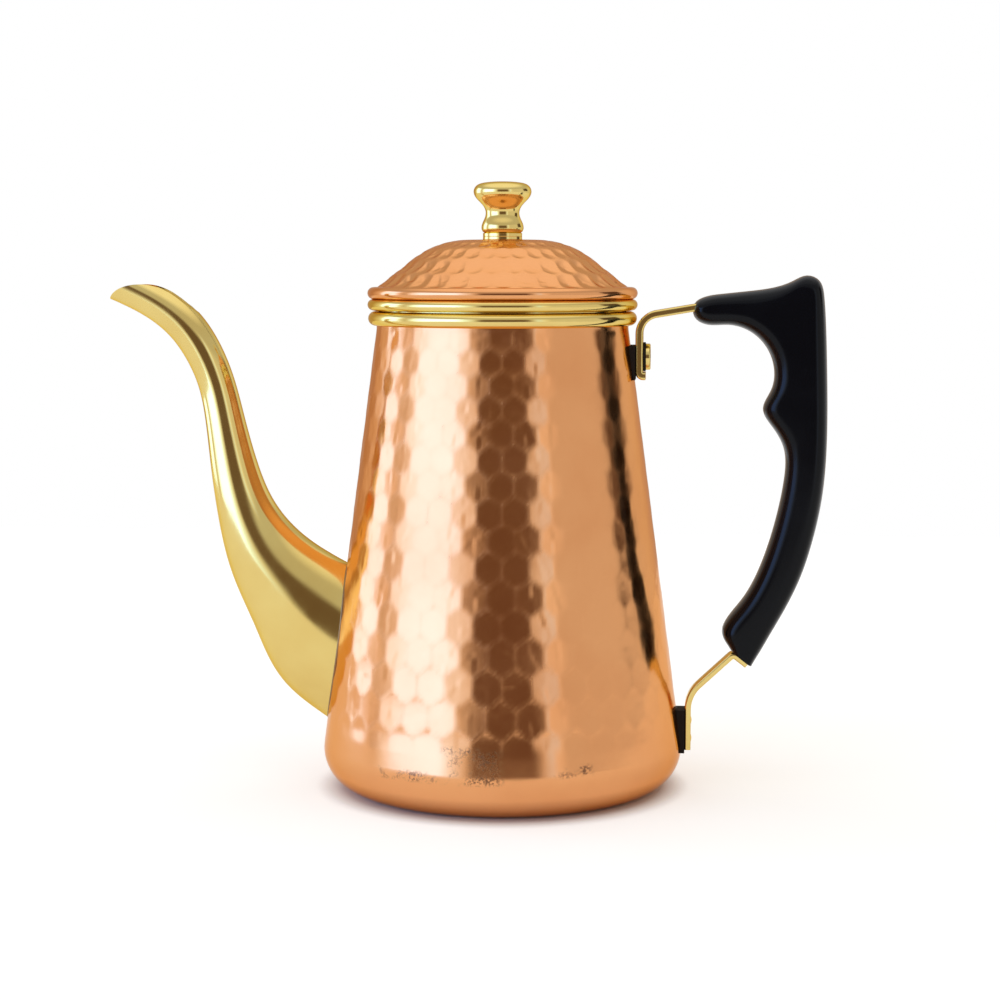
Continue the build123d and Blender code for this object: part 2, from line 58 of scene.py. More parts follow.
def length(name, description, millimetres):
    """A length with a default in millimetres."""
    return FloatProperty(
        name=name,
        description=description,
        default=millimetres * MM,
        min=0.0,
        unit="LENGTH",
    )


def angle(name, description, degrees):
    """An angle with a default in degrees."""
    return FloatProperty(
        name=name,
        description=description,
        default=math.radians(degrees),
        subtype="ANGLE",
        unit="ROTATION",
    )


def colour(name, description, rgb):
    return FloatVectorProperty(
        name=name,
        description=description,
        default=rgb,
        min=0.0,
        max=1.0,
        size=3,
        subtype="COLOR",
    )


def share(name, description, value):
    """A number from 0 to 1."""
    return FloatProperty(
        name=name,
        description=description,
        default=value,
        min=0.0,
        max=1.0,
        subtype="FACTOR",
    )


def factor(name, description, value):
    """A number without a unit, 0 or more."""
    return FloatProperty(name=name, description=description, default=value, min=0.0)


def number(name, description, value, least):
    """A whole number that may not fall below its least."""
    return IntProperty(name=name, description=description, default=value, min=least)


class KettlePotSettings(bpy.types.PropertyGroup):
    """Sizes of the pot, its rim and its hammer marks."""

    foot_radius: length("Foot radius", "Radius of the wall's line at the foot", 65.89)
    neck_radius: length("Neck radius", "Outer radius of the neck", 44.4)
    neck_height: length("Neck height", "Height where the taper ends", 163.2)
    neck_top: length("Neck top", "Height of the wall's upper edge", 167.8)
    wall: length("Wall", "Thickness of the copper", 1.0)
    foot_rounding: length("Foot rounding", "Radius of the foot's corner", 14.0)
    flange_radius: length("Flange radius", "Inner radius of the turned-in flange", 45.0)
    seam_lap: length("Seam lap", "Overlap of the base plate on the flange", 4.0)
    solder_gap: length("Solder gap", "Gap between flange and base plate", 0.05)
    rim_radius: length("Rim radius", "Outer radius of the rim bead", 47.3)
    rim_bottom: length("Rim bottom", "Height of the rim bead's lower side", 164.2)
    rim_thickness: length("Rim thickness", "Height of the rim bead", 5.0)
    port_half_height: length("Port half height", "Half the height of the port", 18.0)
    port_half_width: length("Port half width", "Half the width of the port", 9.0)
    mark_columns: number("Mark columns", "Hammer marks in one row round the wall", 38, least=6)
    mark_rows: number("Mark rows", "Rows of hammer marks from the rim to the foot", 16, least=1)
    mark_cut: factor("Mark cut", "Depth of a mark, 1 makes it flat across the wall", 0.7)
    mark_roundness: factor("Mark roundness", "How hollow a mark is up and down", 0.55)
    mark_scatter: length("Mark scatter", "How far a mark strays from its place", 0.45)
    plain_band: length("Plain band", "Height of the band without marks", 23.0)
    light_marks: FloatVectorProperty(
        name="Light marks",
        description="Turns round the pot between which the marks are shallower",
        default=[math.radians(degrees) for degrees in (-68, -50, -5, 20)],
        size=4,
        subtype="NONE",
        unit="ROTATION",
    )
    light_share: share("Light share", "How much shallower the light marks are", 0.55)


class KettleSpoutSettings(bpy.types.PropertyGroup):
    """Sizes of the goose-neck spout."""

    root_height: length("Root height", "Height of the spout's line at the wall", 53.2)
    reach: length("Reach", "Distance from the wall to the tip", 80.5)
    tip_height: length("Tip height", "Height of the spout's line at the tip", 179.6)
    wall: length("Wall", "Thickness of the brass", 1.0)
    sunk: length("Sunk", "How deep the spout's edge sits in the wall", 0.75)
    seam: length("Seam", "Radius of the solder seam", 0.42)


class KettleLidSettings(bpy.types.PropertyGroup):
    """Sizes of the lid and its knob."""

    lid_radius: length("Lid radius", "Outer radius of the lid's beads", 47.5)
    collar_bottom: length("Collar bottom", "Height of the collar's lower side", 169.5)
    collar_thickness: length("Collar thickness", "Height of the brass bead", 3.9)
    curl_thickness: length("Curl thickness", "Height of the copper curl", 4.2)
    skirt_radius: length("Skirt radius", "Outer radius of the skirt", 43.05)
    skirt_depth: length("Skirt depth", "How deep the skirt sits in the neck", 9.5)
    sheet: length("Sheet", "Thickness of the lid's sheet", 0.8)
    dome_rise: length("Dome rise", "Height of the dome above the collar", 20.7)
    crown_radius: length("Crown radius", "Radius of the flat crown", 12.0)
    dome_slope: angle("Dome slope", "Slope of the dome's lower part", 38.0)
    curl_start: angle("Curl start", "Where the dome runs into the curl", 118.0)
    mark_columns: number("Mark columns", "Hammer marks in one ring of the dome", 34, least=6)
    mark_rings: number("Mark rings", "Rings of hammer marks on the dome", 5, least=1)
    mark_scatter: length("Mark scatter", "How far a mark strays from its place", 0.25)
    mark_cut: factor("Mark cut", "Depth of a mark, 1 makes it flat across the dome", 2.8)
    mark_roundness: factor("Mark roundness", "How hollow a mark is up and down", 0.95)
    mark_inner: length("Marks' inner edge", "Radius where the plain boss ends", 14.0)
    mark_outer: length("Marks' outer edge", "Radius where the marks end at the curl", 44.0)
    first_ring: length("First ring", "Radius of the first ring of marks", 16.7)
    ring_step: length("Ring step", "Radius from one ring of marks to the next", 6.1)
    knob_height: length("Knob height", "Height of the turned knob", 17.6)
    ring_radius: length("Ring radius", "Radius of the ring under the knob", 6.9)
    ring_height: length("Ring height", "Height of the ring under the knob", 2.7)


class KettleHandleSettings(bpy.types.PropertyGroup):
    """Sizes of the grip and its brackets."""

    grip_depth: length("Grip depth", "Depth of the grip from side to side", 18.0)
    grip_crown: length("Grip crown", "How far the rounding of the grip's sides reaches in", 6.0)
    grip_fullness: factor("Grip fullness", "Shape of the rounding, 2 for an ellipse", 2.7)
    end_angle: angle("End angle", "Slope of the grip's lower end", 38.0)
    end_edge: length("End edge", "Rounding of the grip's lower end", 0.9)
    upper_strap: length("Upper strap", "Thickness of the upper strap", 2.6)
    upper_width: length("Upper width", "Width of the upper strap", 12.0)
    lower_strap: length("Lower strap", "Thickness of the lower strap", 2.2)
    lower_width: length("Lower width", "Width of the lower strap", 6.5)
    strap_edge: length("Strap edge", "Rounding of the straps' edges", 0.6)
    head_radius: length("Head radius", "Radius of the upper screw's head", 4.6)
    head_height: length("Head height", "Height of the upper screw's head", 1.6)
    rivet_radius: length("Rivet radius", "Radius of the lower rivets", 1.4)
    rivet_head: length("Rivet head", "Radius of the rivets' heads inside the pot", 2.8)
    rivet_height: length("Rivet height", "Height of the rivets' heads inside the pot", 1.2)
    rivet_dome: length("Rivet dome", "How far the rivets' ends stand out of the strap", 0.3)


class KettleFinishSettings(bpy.types.PropertyGroup):
    """Colours of the metals and the grip."""

    copper: colour("Copper", "Colour of the polished copper", (0.88, 0.41, 0.17))
    copper_deep: colour("Deep copper", "Colour of copper with tarnish", (0.74, 0.28, 0.10))
    brass: colour("Brass", "Colour of the polished brass", (0.86, 0.665, 0.235))
    brass_deep: colour("Deep brass", "Colour of brass with tarnish", (0.72, 0.46, 0.11))
    tin: colour("Tin", "Colour of the tinned inside", (0.66, 0.65, 0.62))
    steel: colour("Steel", "Colour of the steel pieces", (0.56, 0.56, 0.55))
    black: colour("Black", "Colour of the moulded grip", (0.0022, 0.0026, 0.0038))
    rubber: colour("Rubber", "Colour of the pads and seals", (0.012, 0.009, 0.007))


class KettleStudioSettings(bpy.types.PropertyGroup):
    """Camera and light of the studio."""

    camera_turn: angle("Camera turn", "Turn of the camera round the pot", 5.0)
    camera_tilt: angle("Camera tilt", "Tilt of the camera below level", 6.0)
    camera_distance: length("Camera distance", "Distance from the pot's axis", 780.0)
    camera_height: length("Camera height", "Height of the camera", 184.2)
    camera_shift: length("Camera shift", "How far left of the axis the camera stands", 0.9)
    lens: FloatProperty(
        name="Lens",
        description="Focal length on a 36 mm sensor",
        default=79.4,
        min=1.0,
        unit="CAMERA",
    )
    floor_size: length("Floor size", "Width of the floor", 1500.0)
    floor_hole: length("Floor hole", "Radius of the hole under the foot", 46.0)


# Curves


def cubic_curve(knots, rows, closed=False):
    """An evaluator for the smooth curve that passes through the rows at the knots."""
    t = np.asarray(knots, float)
    y = np.asarray(rows, float)
    count = len(t)
    step = np.diff(t)
    slope = np.diff(y, axis=0) / step[:, None]
    system = np.zeros((count, count))
    right = np.zeros_like(y)
    for i in range(1, count - 1):
        system[i, i - 1 : i + 2] = step[i - 1], 2 * (step[i - 1] + step[i]), step[i]
        right[i] = 6 * (slope[i] - slope[i - 1])
    if closed:
        system[0, 0], system[0, -1] = 1, -1
        system[-1, 0] = system[-1, -1] = step[0] + step[-1]
        system[-1, 1], system[-1, -2] = step[0], step[-1]
        right[-1] = 6 * (slope[0] - slope[-1])
    else:
        system[0, 0] = system[-1, -1] = 1
    bend = np.linalg.solve(system, right)

    def at(value):
        value = np.atleast_1d(np.asarray(value, float))
        i = np.clip(np.searchsorted(t, value, side="right") - 1, 0, count - 2)
        a = ((t[i + 1] - value) / step[i])[:, None]
        b = 1 - a
        curved = ((a**3 - a) * bend[i] + (b**3 - b) * bend[i + 1]) * (step[i] ** 2)[:, None]
        return a * y[i] + b * y[i + 1] + curved / 6

    return at


def chord_knots(points):
    """Running distance along a row of points."""
    steps = np.linalg.norm(np.diff(np.asarray(points, float), axis=0), axis=1)
    return np.concatenate([[0.0], np.cumsum(steps)])


def arc(centre, radius, start, end, steps):
    """Points on an arc between two angles in degrees, ends included."""
    angles = np.radians(np.linspace(start, end, steps + 1))
    return [(centre[0] + radius * math.cos(a), centre[1] + radius * math.sin(a)) for a in angles]


def line(start, end, steps):
    """Points on a straight run, without its end."""
    shares = np.linspace(0, 1, steps, endpoint=False)
    return [tuple(np.asarray(start) * (1 - s) + np.asarray(end) * s) for s in shares]


def rounded_path(points, radii, steps=20):
    """A polyline whose inner corners are rounded, each with its own radius."""
    path = [np.asarray(points[0], float)]
    for before, corner, after, radius in zip(points, points[1:], points[2:], radii):
        before, corner, after = (np.asarray(p, float) for p in (before, corner, after))
        back = (before - corner) / np.linalg.norm(before - corner)
        on = (after - corner) / np.linalg.norm(after - corner)
        half = math.acos(np.clip(back @ on, -1, 1)) / 2
        reach = radius / math.tan(half)
        middle = corner + (back + on) / np.linalg.norm(back + on) * radius / math.sin(half)
        start = corner + back * reach - middle
        end = corner + on * reach - middle
        sweep = math.atan2(start[0] * end[1] - start[1] * end[0], start @ end)
        for k in range(steps + 1):
            turn = sweep * k / steps
            c, s = math.cos(turn), math.sin(turn)
            path.append(middle + (start[0] * c - start[1] * s, start[0] * s + start[1] * c))
    path.append(np.asarray(points[-1], float))
    return path


# Meshes

WELD_DISTANCE = 0.002 * MM
SLIVER_SIZE = 0.0005 * MM


def settle(mesh, crease):
    """Merges doubles, turns the faces out and keeps edges sharper than the crease, in degrees."""
    work = bmesh.new()
    work.from_mesh(mesh)
    bmesh.ops.remove_doubles(work, verts=work.verts, dist=WELD_DISTANCE)
    bmesh.ops.dissolve_degenerate(work, edges=work.edges, dist=SLIVER_SIZE)
    bmesh.ops.recalc_face_normals(work, faces=work.faces)
    work.to_mesh(mesh)
    work.free()
    mesh.shade_smooth()
    mesh.set_sharp_from_angle(angle=math.radians(crease))


def place(name, mesh):
    """An object of the mesh in the scene."""
    piece = bpy.data.objects.new(name, mesh)
    bpy.context.scene.collection.objects.link(piece)
    return piece


def new_piece(name, points, faces, crease=35.0):
    """An object from points and faces, with its doubles merged and its faces turned out."""
    mesh = bpy.data.meshes.new(name)
    mesh.from_pydata([tuple(p) for p in points], [], faces)
    settle(mesh, crease)
    return place(name, mesh)


def rows_of(items, attribute):
    """An attribute of every point or face as rows of x, y and z."""
    values = np.zeros(len(items) * 3)
    items.foreach_get(attribute, values)
    return values.reshape(-1, 3)


def grid_faces(rows, columns, back=False):
    """Quads between rows of points that are closed round, and back to the first row if wanted."""
    faces = []
    for i in range(rows if back else rows - 1):
        lower = i * columns
        upper = (i + 1) % rows * columns
        for j in range(columns):
            k = (j + 1) % columns
            faces.append((lower + j, lower + k, upper + k, upper + j))
    return faces


def capped_faces(rows, columns):
    """The faces of a closed bar: its sides and a cap at each end."""
    last = (rows - 1) * columns
    caps = [tuple(range(columns)), tuple(range(last, last + columns))]
    return grid_faces(rows, columns) + caps


def turns_round(segments):
    """Equal turns round a full circle."""
    return np.arange(segments) * FULL_TURN / segments


def lathe(name, profile, segments, closed=True):
    """A profile of radius and height turned round the pot's axis."""
    turns = turns_round(segments)
    points = []
    for radius, height in profile:
        for turn in turns:
            points.append((radius * math.cos(turn), radius * math.sin(turn), height))
    return new_piece(name, points, grid_faces(len(profile), segments, back=closed))


def lathe_along_x(name, profiles, segments):
    """Profiles of x and radius, each turned round a line along X at its own height."""
    turns = turns_round(segments)
    points = []
    faces = []
    for height, profile in profiles:
        first = len(points)
        for x, radius in profile:
            for turn in turns:
                points.append((x, radius * math.cos(turn), height + radius * math.sin(turn)))
        for face in grid_faces(len(profile), segments):
            faces.append(tuple(first + k for k in face))
    return new_piece(name, points, faces)


def bar_along_x(name, outline, start, end):
    """A bar between two places on X, with an outline of y and z."""
    points = [(x, y, z) for x in (start, end) for y, z in outline]
    return new_piece(name, points, capped_faces(2, len(outline)))


def strap(name, path, width, thickness, edge):
    """A flat strap with rounded edges along a path in the XZ plane."""
    half_t = thickness / 2
    half_w = width / 2
    section = []
    for side_t, side_w, start in ((1, 1, 0), (-1, 1, 90), (-1, -1, 180), (1, -1, 270)):
        centre = (side_t * (half_t - edge), side_w * (half_w - edge))
        section += arc(centre, edge, start, start + 90, steps=4)
    points = []
    for i, spot in enumerate(path):
        before = path[max(i - 1, 0)]
        after = path[min(i + 1, len(path) - 1)]
        along = (after - before) / np.linalg.norm(after - before)
        for out, side in section:
            points.append((spot[0] - along[1] * out, side, spot[1] + along[0] * out))
    return new_piece(name, points, capped_faces(len(path), len(section)))


def apply_modifiers(piece):
    """Makes the mesh what the modifiers show, and removes them."""
    bpy.context.view_layer.update()
    graph = bpy.context.evaluated_depsgraph_get()
    made = bpy.data.meshes.new_from_object(
        piece.evaluated_get(graph), preserve_all_data_layers=True, depsgraph=graph
    )
    old = piece.data
    piece.modifiers.clear()
    piece.data = made
    bpy.data.meshes.remove(old)


def cut_away(piece, cutters):
    """Cuts other objects out of a piece, and removes them."""
    for cutter in cutters:
        cut = piece.modifiers.new("Cut", "BOOLEAN")
        cut.operation = "DIFFERENCE"
        cut.solver = "EXACT"
        cut.object = cutter
    apply_modifiers(piece)
    for cutter in cutters:
        bpy.data.objects.remove(cutter)


def set_faces(piece, *finishes):
    """The piece's material slots, in order."""
    piece.data.materials.clear()
    for material in finishes:
        piece.data.materials.append(material)


def finish_piece(piece, body, slot, *nodes):
    """Says which body a finished piece rides on and the CAD nodes that it stands for; the slot is
    not used.
    """
    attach(piece, body)
    if nodes:
        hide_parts(*nodes)


def finish_brass(piece, body, node):
    """Finishes a piece that is polished brass all over."""
    set_faces(piece, finish("polished brass"))
    finish_piece(piece, body, "brass", node)


# Node trees


class Tree:
    """Adds nodes to a tree and links them."""

    # A Mix node's sockets for colours share their names with others, so they go by number.
    FIRST_COLOUR = 6
    SECOND_COLOUR = 7
    MIXED_COLOUR = 2

    def __init__(self, tree):
        self.tree = tree

    def node(self, kind, inputs=None, **settings):
        """A node of this kind, with its settings made and its inputs set or linked."""
        node = self.tree.nodes.new(kind)
        for key, value in settings.items():
            setattr(node, key, value)
        for key, value in (inputs or {}).items():
            self.feed(node.inputs[key], value)
        return node

    def feed(self, socket, value):
        """Links another node's socket, or sets a plain value."""
        if isinstance(value, bpy.types.NodeSocket):
            self.tree.links.new(value, socket)
        else:
            socket.default_value = value

    def math(self, operation, *values):
        return self.node("ShaderNodeMath", dict(enumerate(values)), operation=operation).outputs[0]

    def product(self, first, *others):
        """All the values multiplied."""
        for value in others:
            first = self.math("MULTIPLY", first, value)
        return first

    def ramp(self, value, low, high, start=0.0, end=1.0):
        """A value moved from one range to another, held at both ends."""
        limits = {"From Min": low, "From Max": high, "To Min": start, "To Max": end}
        return self.node("ShaderNodeMapRange", {"Value": value, **limits}).outputs[0]

    def mix(self, amount, first, second):
        """Two colours mixed, all of the second at 1."""
        inputs = {0: amount, self.FIRST_COLOUR: first, self.SECOND_COLOUR: second}
        return self.node("ShaderNodeMix", inputs, data_type="RGBA").outputs[self.MIXED_COLOUR]

    def xyz(self, vector):
        """The three parts of a vector."""
        return self.node("ShaderNodeSeparateXYZ", {0: vector}).outputs


def geometry_tree(name, sockets):
    """A Geometry Nodes tree with named inputs, its helper, its inputs and its results."""
    tree = bpy.data.node_groups.new(name, "GeometryNodeTree")
    tree.interface.new_socket("Geometry", in_out="INPUT", socket_type="NodeSocketGeometry")
    for label, kind in sockets:
        tree.interface.new_socket(label, in_out="INPUT", socket_type=kind)
    tree.interface.new_socket("Geometry", in_out="OUTPUT", socket_type="NodeSocketGeometry")
    helper = Tree(tree)
    group_in = helper.node("NodeGroupInput")
    group_out = helper.node("NodeGroupOutput")
    return helper, group_in.outputs, group_out.inputs


def apply_tree(piece, tree, values):
    """Makes the piece's mesh what the tree makes of it with these values."""
    modifier = piece.modifiers.new(tree.name, "NODES")
    modifier.node_group = tree
    for item in tree.interface.items_tree:
        if item.item_type == "SOCKET" and item.in_out == "INPUT" and item.name in values:
            modifier[item.identifier] = values[item.name]
    apply_modifiers(piece)


def real(helper, geometry):
    """The geometry without instances."""
    return helper.node("GeometryNodeRealizeInstances", {"Geometry": geometry}).outputs[0]


def painted(helper, geometry, material, selection=True):
    """The geometry with a finish on the selected faces."""
    inputs = {"Geometry": geometry, "Selection": selection, "Material": material}
    return helper.node("GeometryNodeSetMaterial", inputs).outputs[0]


HAMMER_INPUTS = (
    ("Columns", "NodeSocketInt"),
    ("Rows", "NodeSocketInt"),
    ("First Radius", "NodeSocketFloat"),
    ("First Height", "NodeSocketFloat"),
    ("Radius Growth", "NodeSocketFloat"),
    ("Radius Step", "NodeSocketFloat"),
    ("Fall", "NodeSocketFloat"),
    ("Cut", "NodeSocketFloat"),
    ("Roundness", "NodeSocketFloat"),
    ("Overlap", "NodeSocketFloat"),
    ("Scatter", "NodeSocketFloat"),
    ("Seed", "NodeSocketInt"),
    ("Outer Finish", "NodeSocketMaterial"),
    ("Inner Finish", "NodeSocketMaterial"),
)
# A strike's force is the least one and a random part of the spread.
LEAST_FORCE = 0.75
FORCE_SPREAD = 0.5
# How much less hollow than its neighbours a point is where a ridge starts, and where it is full.
RIDGE_START = 0.02
RIDGE_FULL = 0.10


def strike_points(helper, given):
    """Rings of strikes laid on the surface, every other ring turned by half a mark."""
    calc, product = helper.math, helper.product
    index = helper.node("GeometryNodeInputIndex").outputs[0]
    row = calc("FLOOR", calc("DIVIDE", index, given["Columns"]))
    column = calc("SUBTRACT", index, product(row, given["Columns"]))
    offset = product(calc("MODULO", row, 2.0), 0.5)
    turn = calc("DIVIDE", product(calc("ADD", column, offset), FULL_TURN), given["Columns"])
    grown = product(given["First Radius"], calc("POWER", given["Radius Growth"], row))
    radius = calc("ADD", grown, product(row, given["Radius Step"]))
    drop = product(calc("SUBTRACT", radius, given["First Radius"]), given["Fall"])
    spot = helper.node(
        "ShaderNodeCombineXYZ",
        {
            "X": product(radius, calc("COSINE", turn)),
            "Y": product(radius, calc("SINE", turn)),
            "Z": calc("SUBTRACT", given["First Height"], drop),
        },
    )
    stray = helper.node("FunctionNodeRandomValue", data_type="FLOAT_VECTOR")
    helper.feed(stray.inputs["Min"], product(given["Scatter"], -1.0))
    helper.feed(stray.inputs["Max"], given["Scatter"])
    helper.feed(stray.inputs["Seed"], given["Seed"])
    spots = helper.node(
        "GeometryNodePoints",
        {"Count": product(given["Columns"], given["Rows"]), "Position": spot.outputs[0]},
    )
    skin = helper.node(
        "GeometryNodeProximity", {"Geometry": given["Geometry"]}, target_element="FACES"
    )
    strikes = helper.node(
        "GeometryNodeSetPosition",
        {
            "Geometry": spots.outputs[0],
            "Position": skin.outputs["Position"],
            "Offset": stray.outputs[0],
        },
    )
    return strikes.outputs[0]


def hammer_tree():
    """Strikes in rings on a turned surface: each point sinks into the nearest strike's hollow."""
    helper, given, result = geometry_tree("Hammer marks", HAMMER_INPUTS)
    calc, product = helper.math, helper.product

    def attribute(name, data_type):
        source = "GeometryNodeInputNamedAttribute"
        return helper.node(source, {"Name": name}, data_type=data_type).outputs[0]

    def blurred(value):
        inputs = {"Value": value, "Iterations": 1}
        return helper.node("GeometryNodeBlurAttribute", inputs, data_type="FLOAT").outputs[0]

    def radius_and_height(spot):
        x, y, z = helper.xyz(spot)
        return calc("SQRT", calc("ADD", product(x, x), product(y, y))), z

    nearest = helper.node(
        "GeometryNodeProximity", {"Geometry": strike_points(helper, given)}, target_element="POINTS"
    ).outputs
    here = helper.node("GeometryNodeInputPosition").outputs[0]
    here_radius, here_height = radius_and_height(here)
    strike_radius, strike_height = radius_and_height(nearest["Position"])
    out = calc("SUBTRACT", here_radius, strike_radius)
    rise = calc("SUBTRACT", here_height, strike_height)
    upright = calc("ADD", product(out, out), product(rise, rise))
    whole = product(nearest["Distance"], nearest["Distance"])
    across = calc("MAXIMUM", calc("SUBTRACT", whole, upright), 0.0)
    spread = calc("ADD", across, product(upright, given["Roundness"]))
    half_pitch = calc("DIVIDE", product(here_radius, math.pi), given["Columns"])
    reach = product(half_pitch, half_pitch)
    inner = calc("SUBTRACT", calc("ADD", given["Overlap"], 1.0), calc("DIVIDE", spread, reach))
    hollow = calc("MAXIMUM", inner, 0.0)

    luck = helper.node("ShaderNodeTexWhiteNoise", {"Vector": nearest["Position"]})
    force = calc("ADD", product(luck.outputs["Value"], FORCE_SPREAD), LEAST_FORCE)
    flat_depth = calc("DIVIDE", reach, product(here_radius, 2.0))
    depth = product(product(hollow, flat_depth), product(given["Cut"], force))
    marks = attribute("marks", "FLOAT")
    sink = product(depth, marks, -1.0)
    normal = helper.node("GeometryNodeInputNormal").outputs[0]
    move = helper.node("ShaderNodeVectorMath", {0: normal, "Scale": sink}, operation="SCALE")

    stand = calc("SUBTRACT", blurred(hollow), hollow)
    ridge = blurred(helper.ramp(stand, RIDGE_START, RIDGE_FULL))
    kept = helper.node(
        "GeometryNodeStoreNamedAttribute",
        {"Geometry": given["Geometry"], "Name": "ridge", "Value": product(ridge, marks)},
        data_type="FLOAT",
        domain="POINT",
    )
    moved = helper.node(
        "GeometryNodeSetPosition", {"Geometry": kept.outputs[0], "Offset": move.outputs[0]}
    )
    outer = painted(helper, real(helper, moved.outputs[0]), given["Outer Finish"])
    inside = attribute("inside", "BOOLEAN")
    helper.feed(result[0], painted(helper, outer, given["Inner Finish"], inside))
    return helper.tree


def seam_tree():
    """A round bead along a closed row of edges."""
    helper, given, result = geometry_tree(
        "Solder seam",
        (
            ("Bead Radius", "NodeSocketFloat"),
            ("Sides", "NodeSocketInt"),
            ("Finish", "NodeSocketMaterial"),
        ),
    )
    path = helper.node("GeometryNodeMeshToCurve", {"Mesh": given["Geometry"]})
    circle = helper.node(
        "GeometryNodeCurvePrimitiveCircle",
        {"Resolution": given["Sides"], "Radius": given["Bead Radius"]},
        mode="RADIUS",
    )
    bead = helper.node(
        "GeometryNodeCurveToMesh",
        {"Curve": path.outputs[0], "Profile Curve": circle.outputs[0]},
    )
    helper.feed(result[0], painted(helper, real(helper, bead.outputs[0]), given["Finish"]))
    return helper.tree


# Finishes

NOISE_ROUGHNESS = 0.55


def rgba(rgb):
    """A colour with its fourth number, as the sockets take it."""
    return (rgb[0], rgb[1], rgb[2], 1.0)


class Look(Tree):
    """The nodes of one material round its Principled shader."""

    def __init__(self, name, metallic=0.0):
        self.material = bpy.data.materials.new(name)
        self.material.use_nodes = True
        super().__init__(self.material.node_tree)
        self.shader = self.tree.nodes["Principled BSDF"]
        self.here = self.node("ShaderNodeTexCoord").outputs["Object"]
        self.set("Metallic", metallic)

    def set(self, socket, value):
        self.feed(self.shader.inputs[socket], value)

    def noise(self, scale, detail=3.0, stretch=None):
        """A noise value, stretched along the axes if wanted."""
        spot = self.here
        if stretch:
            inputs = {"Vector": self.here, "Scale": stretch}
            spot = self.node("ShaderNodeMapping", inputs).outputs[0]
        inputs = {"Vector": spot, "Scale": scale, "Detail": detail, "Roughness": NOISE_ROUGHNESS}
        return self.node("ShaderNodeTexNoise", inputs).outputs[0]

    def window(self, value, low, high, soft):
        """One between two values and zero outside them."""
        return self.product(self.ramp(value, low - soft, low), self.ramp(value, high + soft, high))

    def bump(self, height, strength, distance):
        inputs = {"Height": height, "Strength": strength, "Distance": distance}
        self.set("Normal", self.node("ShaderNodeBump", inputs).outputs[0])


# Stains near the foot: from and to degrees round the axis, lower and upper height in mm, strength.
STAINS = (
    (-124, -88, 14.5, 16.0, 0.7),
    (-101, -88, 15.0, 25.0, 0.75),
    (-66, -59, 16.5, 18.5, 0.8),
    (20, 44, 14.0, 17.0, 0.6),
    (120, 131, 15.0, 22.0, 0.6),
)
STAIN_COLOUR = (0.12, 0.055, 0.035)
STAIN_DULLING = 0.25
RIDGE_DULLING = 0.22


def foot_stains(look):
    """How strong the stains near the foot are at each place."""
    x, y, height = look.xyz(look.here)
    degrees = look.product(look.math("ARCTAN2", y, x), 180 / math.pi)
    spots = 0.0
    for first, last, low, high, dark in STAINS:
        across = look.window(degrees, first, last, soft=4.0)
        upright = look.window(height, low * MM, high * MM, soft=1.5 * MM)
        spots = look.math("MAXIMUM", spots, look.product(across, upright, dark))
    patch = look.ramp(look.noise(scale=150.0), low=0.42, high=0.56)
    grain = look.ramp(look.noise(scale=1100.0), low=0.44, high=0.56)
    return look.product(spots, patch, grain)


def copper_look(name, colours):
    """Polished copper with cloudy tarnish and fine scratches, its colour and its roughness."""
    look = Look(name, metallic=1.0)
    look.set("Specular Tint", (0.95, 0.72, 0.50, 1.0))
    cloud = look.ramp(look.noise(scale=22.0, detail=4.0), low=0.42, high=0.72, end=0.4)
    base = look.mix(cloud, rgba(colours.copper), rgba(colours.copper_deep))
    rough = look.ramp(look.noise(scale=60.0), low=0.35, high=0.7, start=0.10, end=0.17)
    scratches = look.noise(scale=900.0, detail=2.0, stretch=(1.0, 1.0, 0.2))
    specks = look.product(look.noise(scale=420.0, detail=2.0), 0.6)
    look.bump(look.math("ADD", scratches, specks), strength=0.04, distance=0.1 * MM)
    return look, base, rough


def hammered_copper(name, colours):
    """Copper that is duller on the ridges between its marks, with stains near the pot's foot."""
    look, base, rough = copper_look(name, colours)
    ridge = look.node("ShaderNodeAttribute", attribute_name="ridge").outputs["Fac"]
    stain = foot_stains(look)
    rough = look.math("ADD", rough, look.product(ridge, RIDGE_DULLING))
    look.set("Base Color", look.mix(stain, base, rgba(STAIN_COLOUR)))
    look.set("Roughness", look.math("ADD", rough, look.product(stain, STAIN_DULLING)))
    return look.material


def plain_copper(name, colours):
    """The same copper without marks and stains."""
    look, base, rough = copper_look(name, colours)
    look.set("Base Color", base)
    look.set("Roughness", rough)
    return look.material


def polished_brass(name, colours):
    """Polished brass with cloudy tarnish and fine scratches."""
    look = Look(name, metallic=1.0)
    look.set("Specular Tint", (0.92, 0.72, 0.34, 1.0))
    cloud = look.ramp(look.noise(scale=30.0, detail=4.0), low=0.4, high=0.75, end=0.5)
    rough = look.ramp(look.noise(scale=85.0), low=0.3, high=0.7, start=0.08, end=0.16)
    look.set("Base Color", look.mix(cloud, rgba(colours.brass), rgba(colours.brass_deep)))
    look.set("Roughness", rough)
    look.bump(look.noise(scale=1400.0, detail=2.0), strength=0.04, distance=0.05 * MM)
    return look.material


def wiped_tin(name, colours):
    """Wiped tin: soft streaks and dull patches."""
    look = Look(name, metallic=1.0)
    streak = look.noise(scale=40.0, detail=4.0, stretch=(1.0, 1.0, 0.25))
    look.set("Base Color", look.mix(streak, rgba(colours.tin), (0.5, 0.49, 0.47, 1.0)))
    look.set("Roughness", look.ramp(streak, low=0.3, high=0.7, start=0.26, end=0.44))
    look.bump(look.noise(scale=260.0), strength=0.15, distance=0.4 * MM)
    return look.material


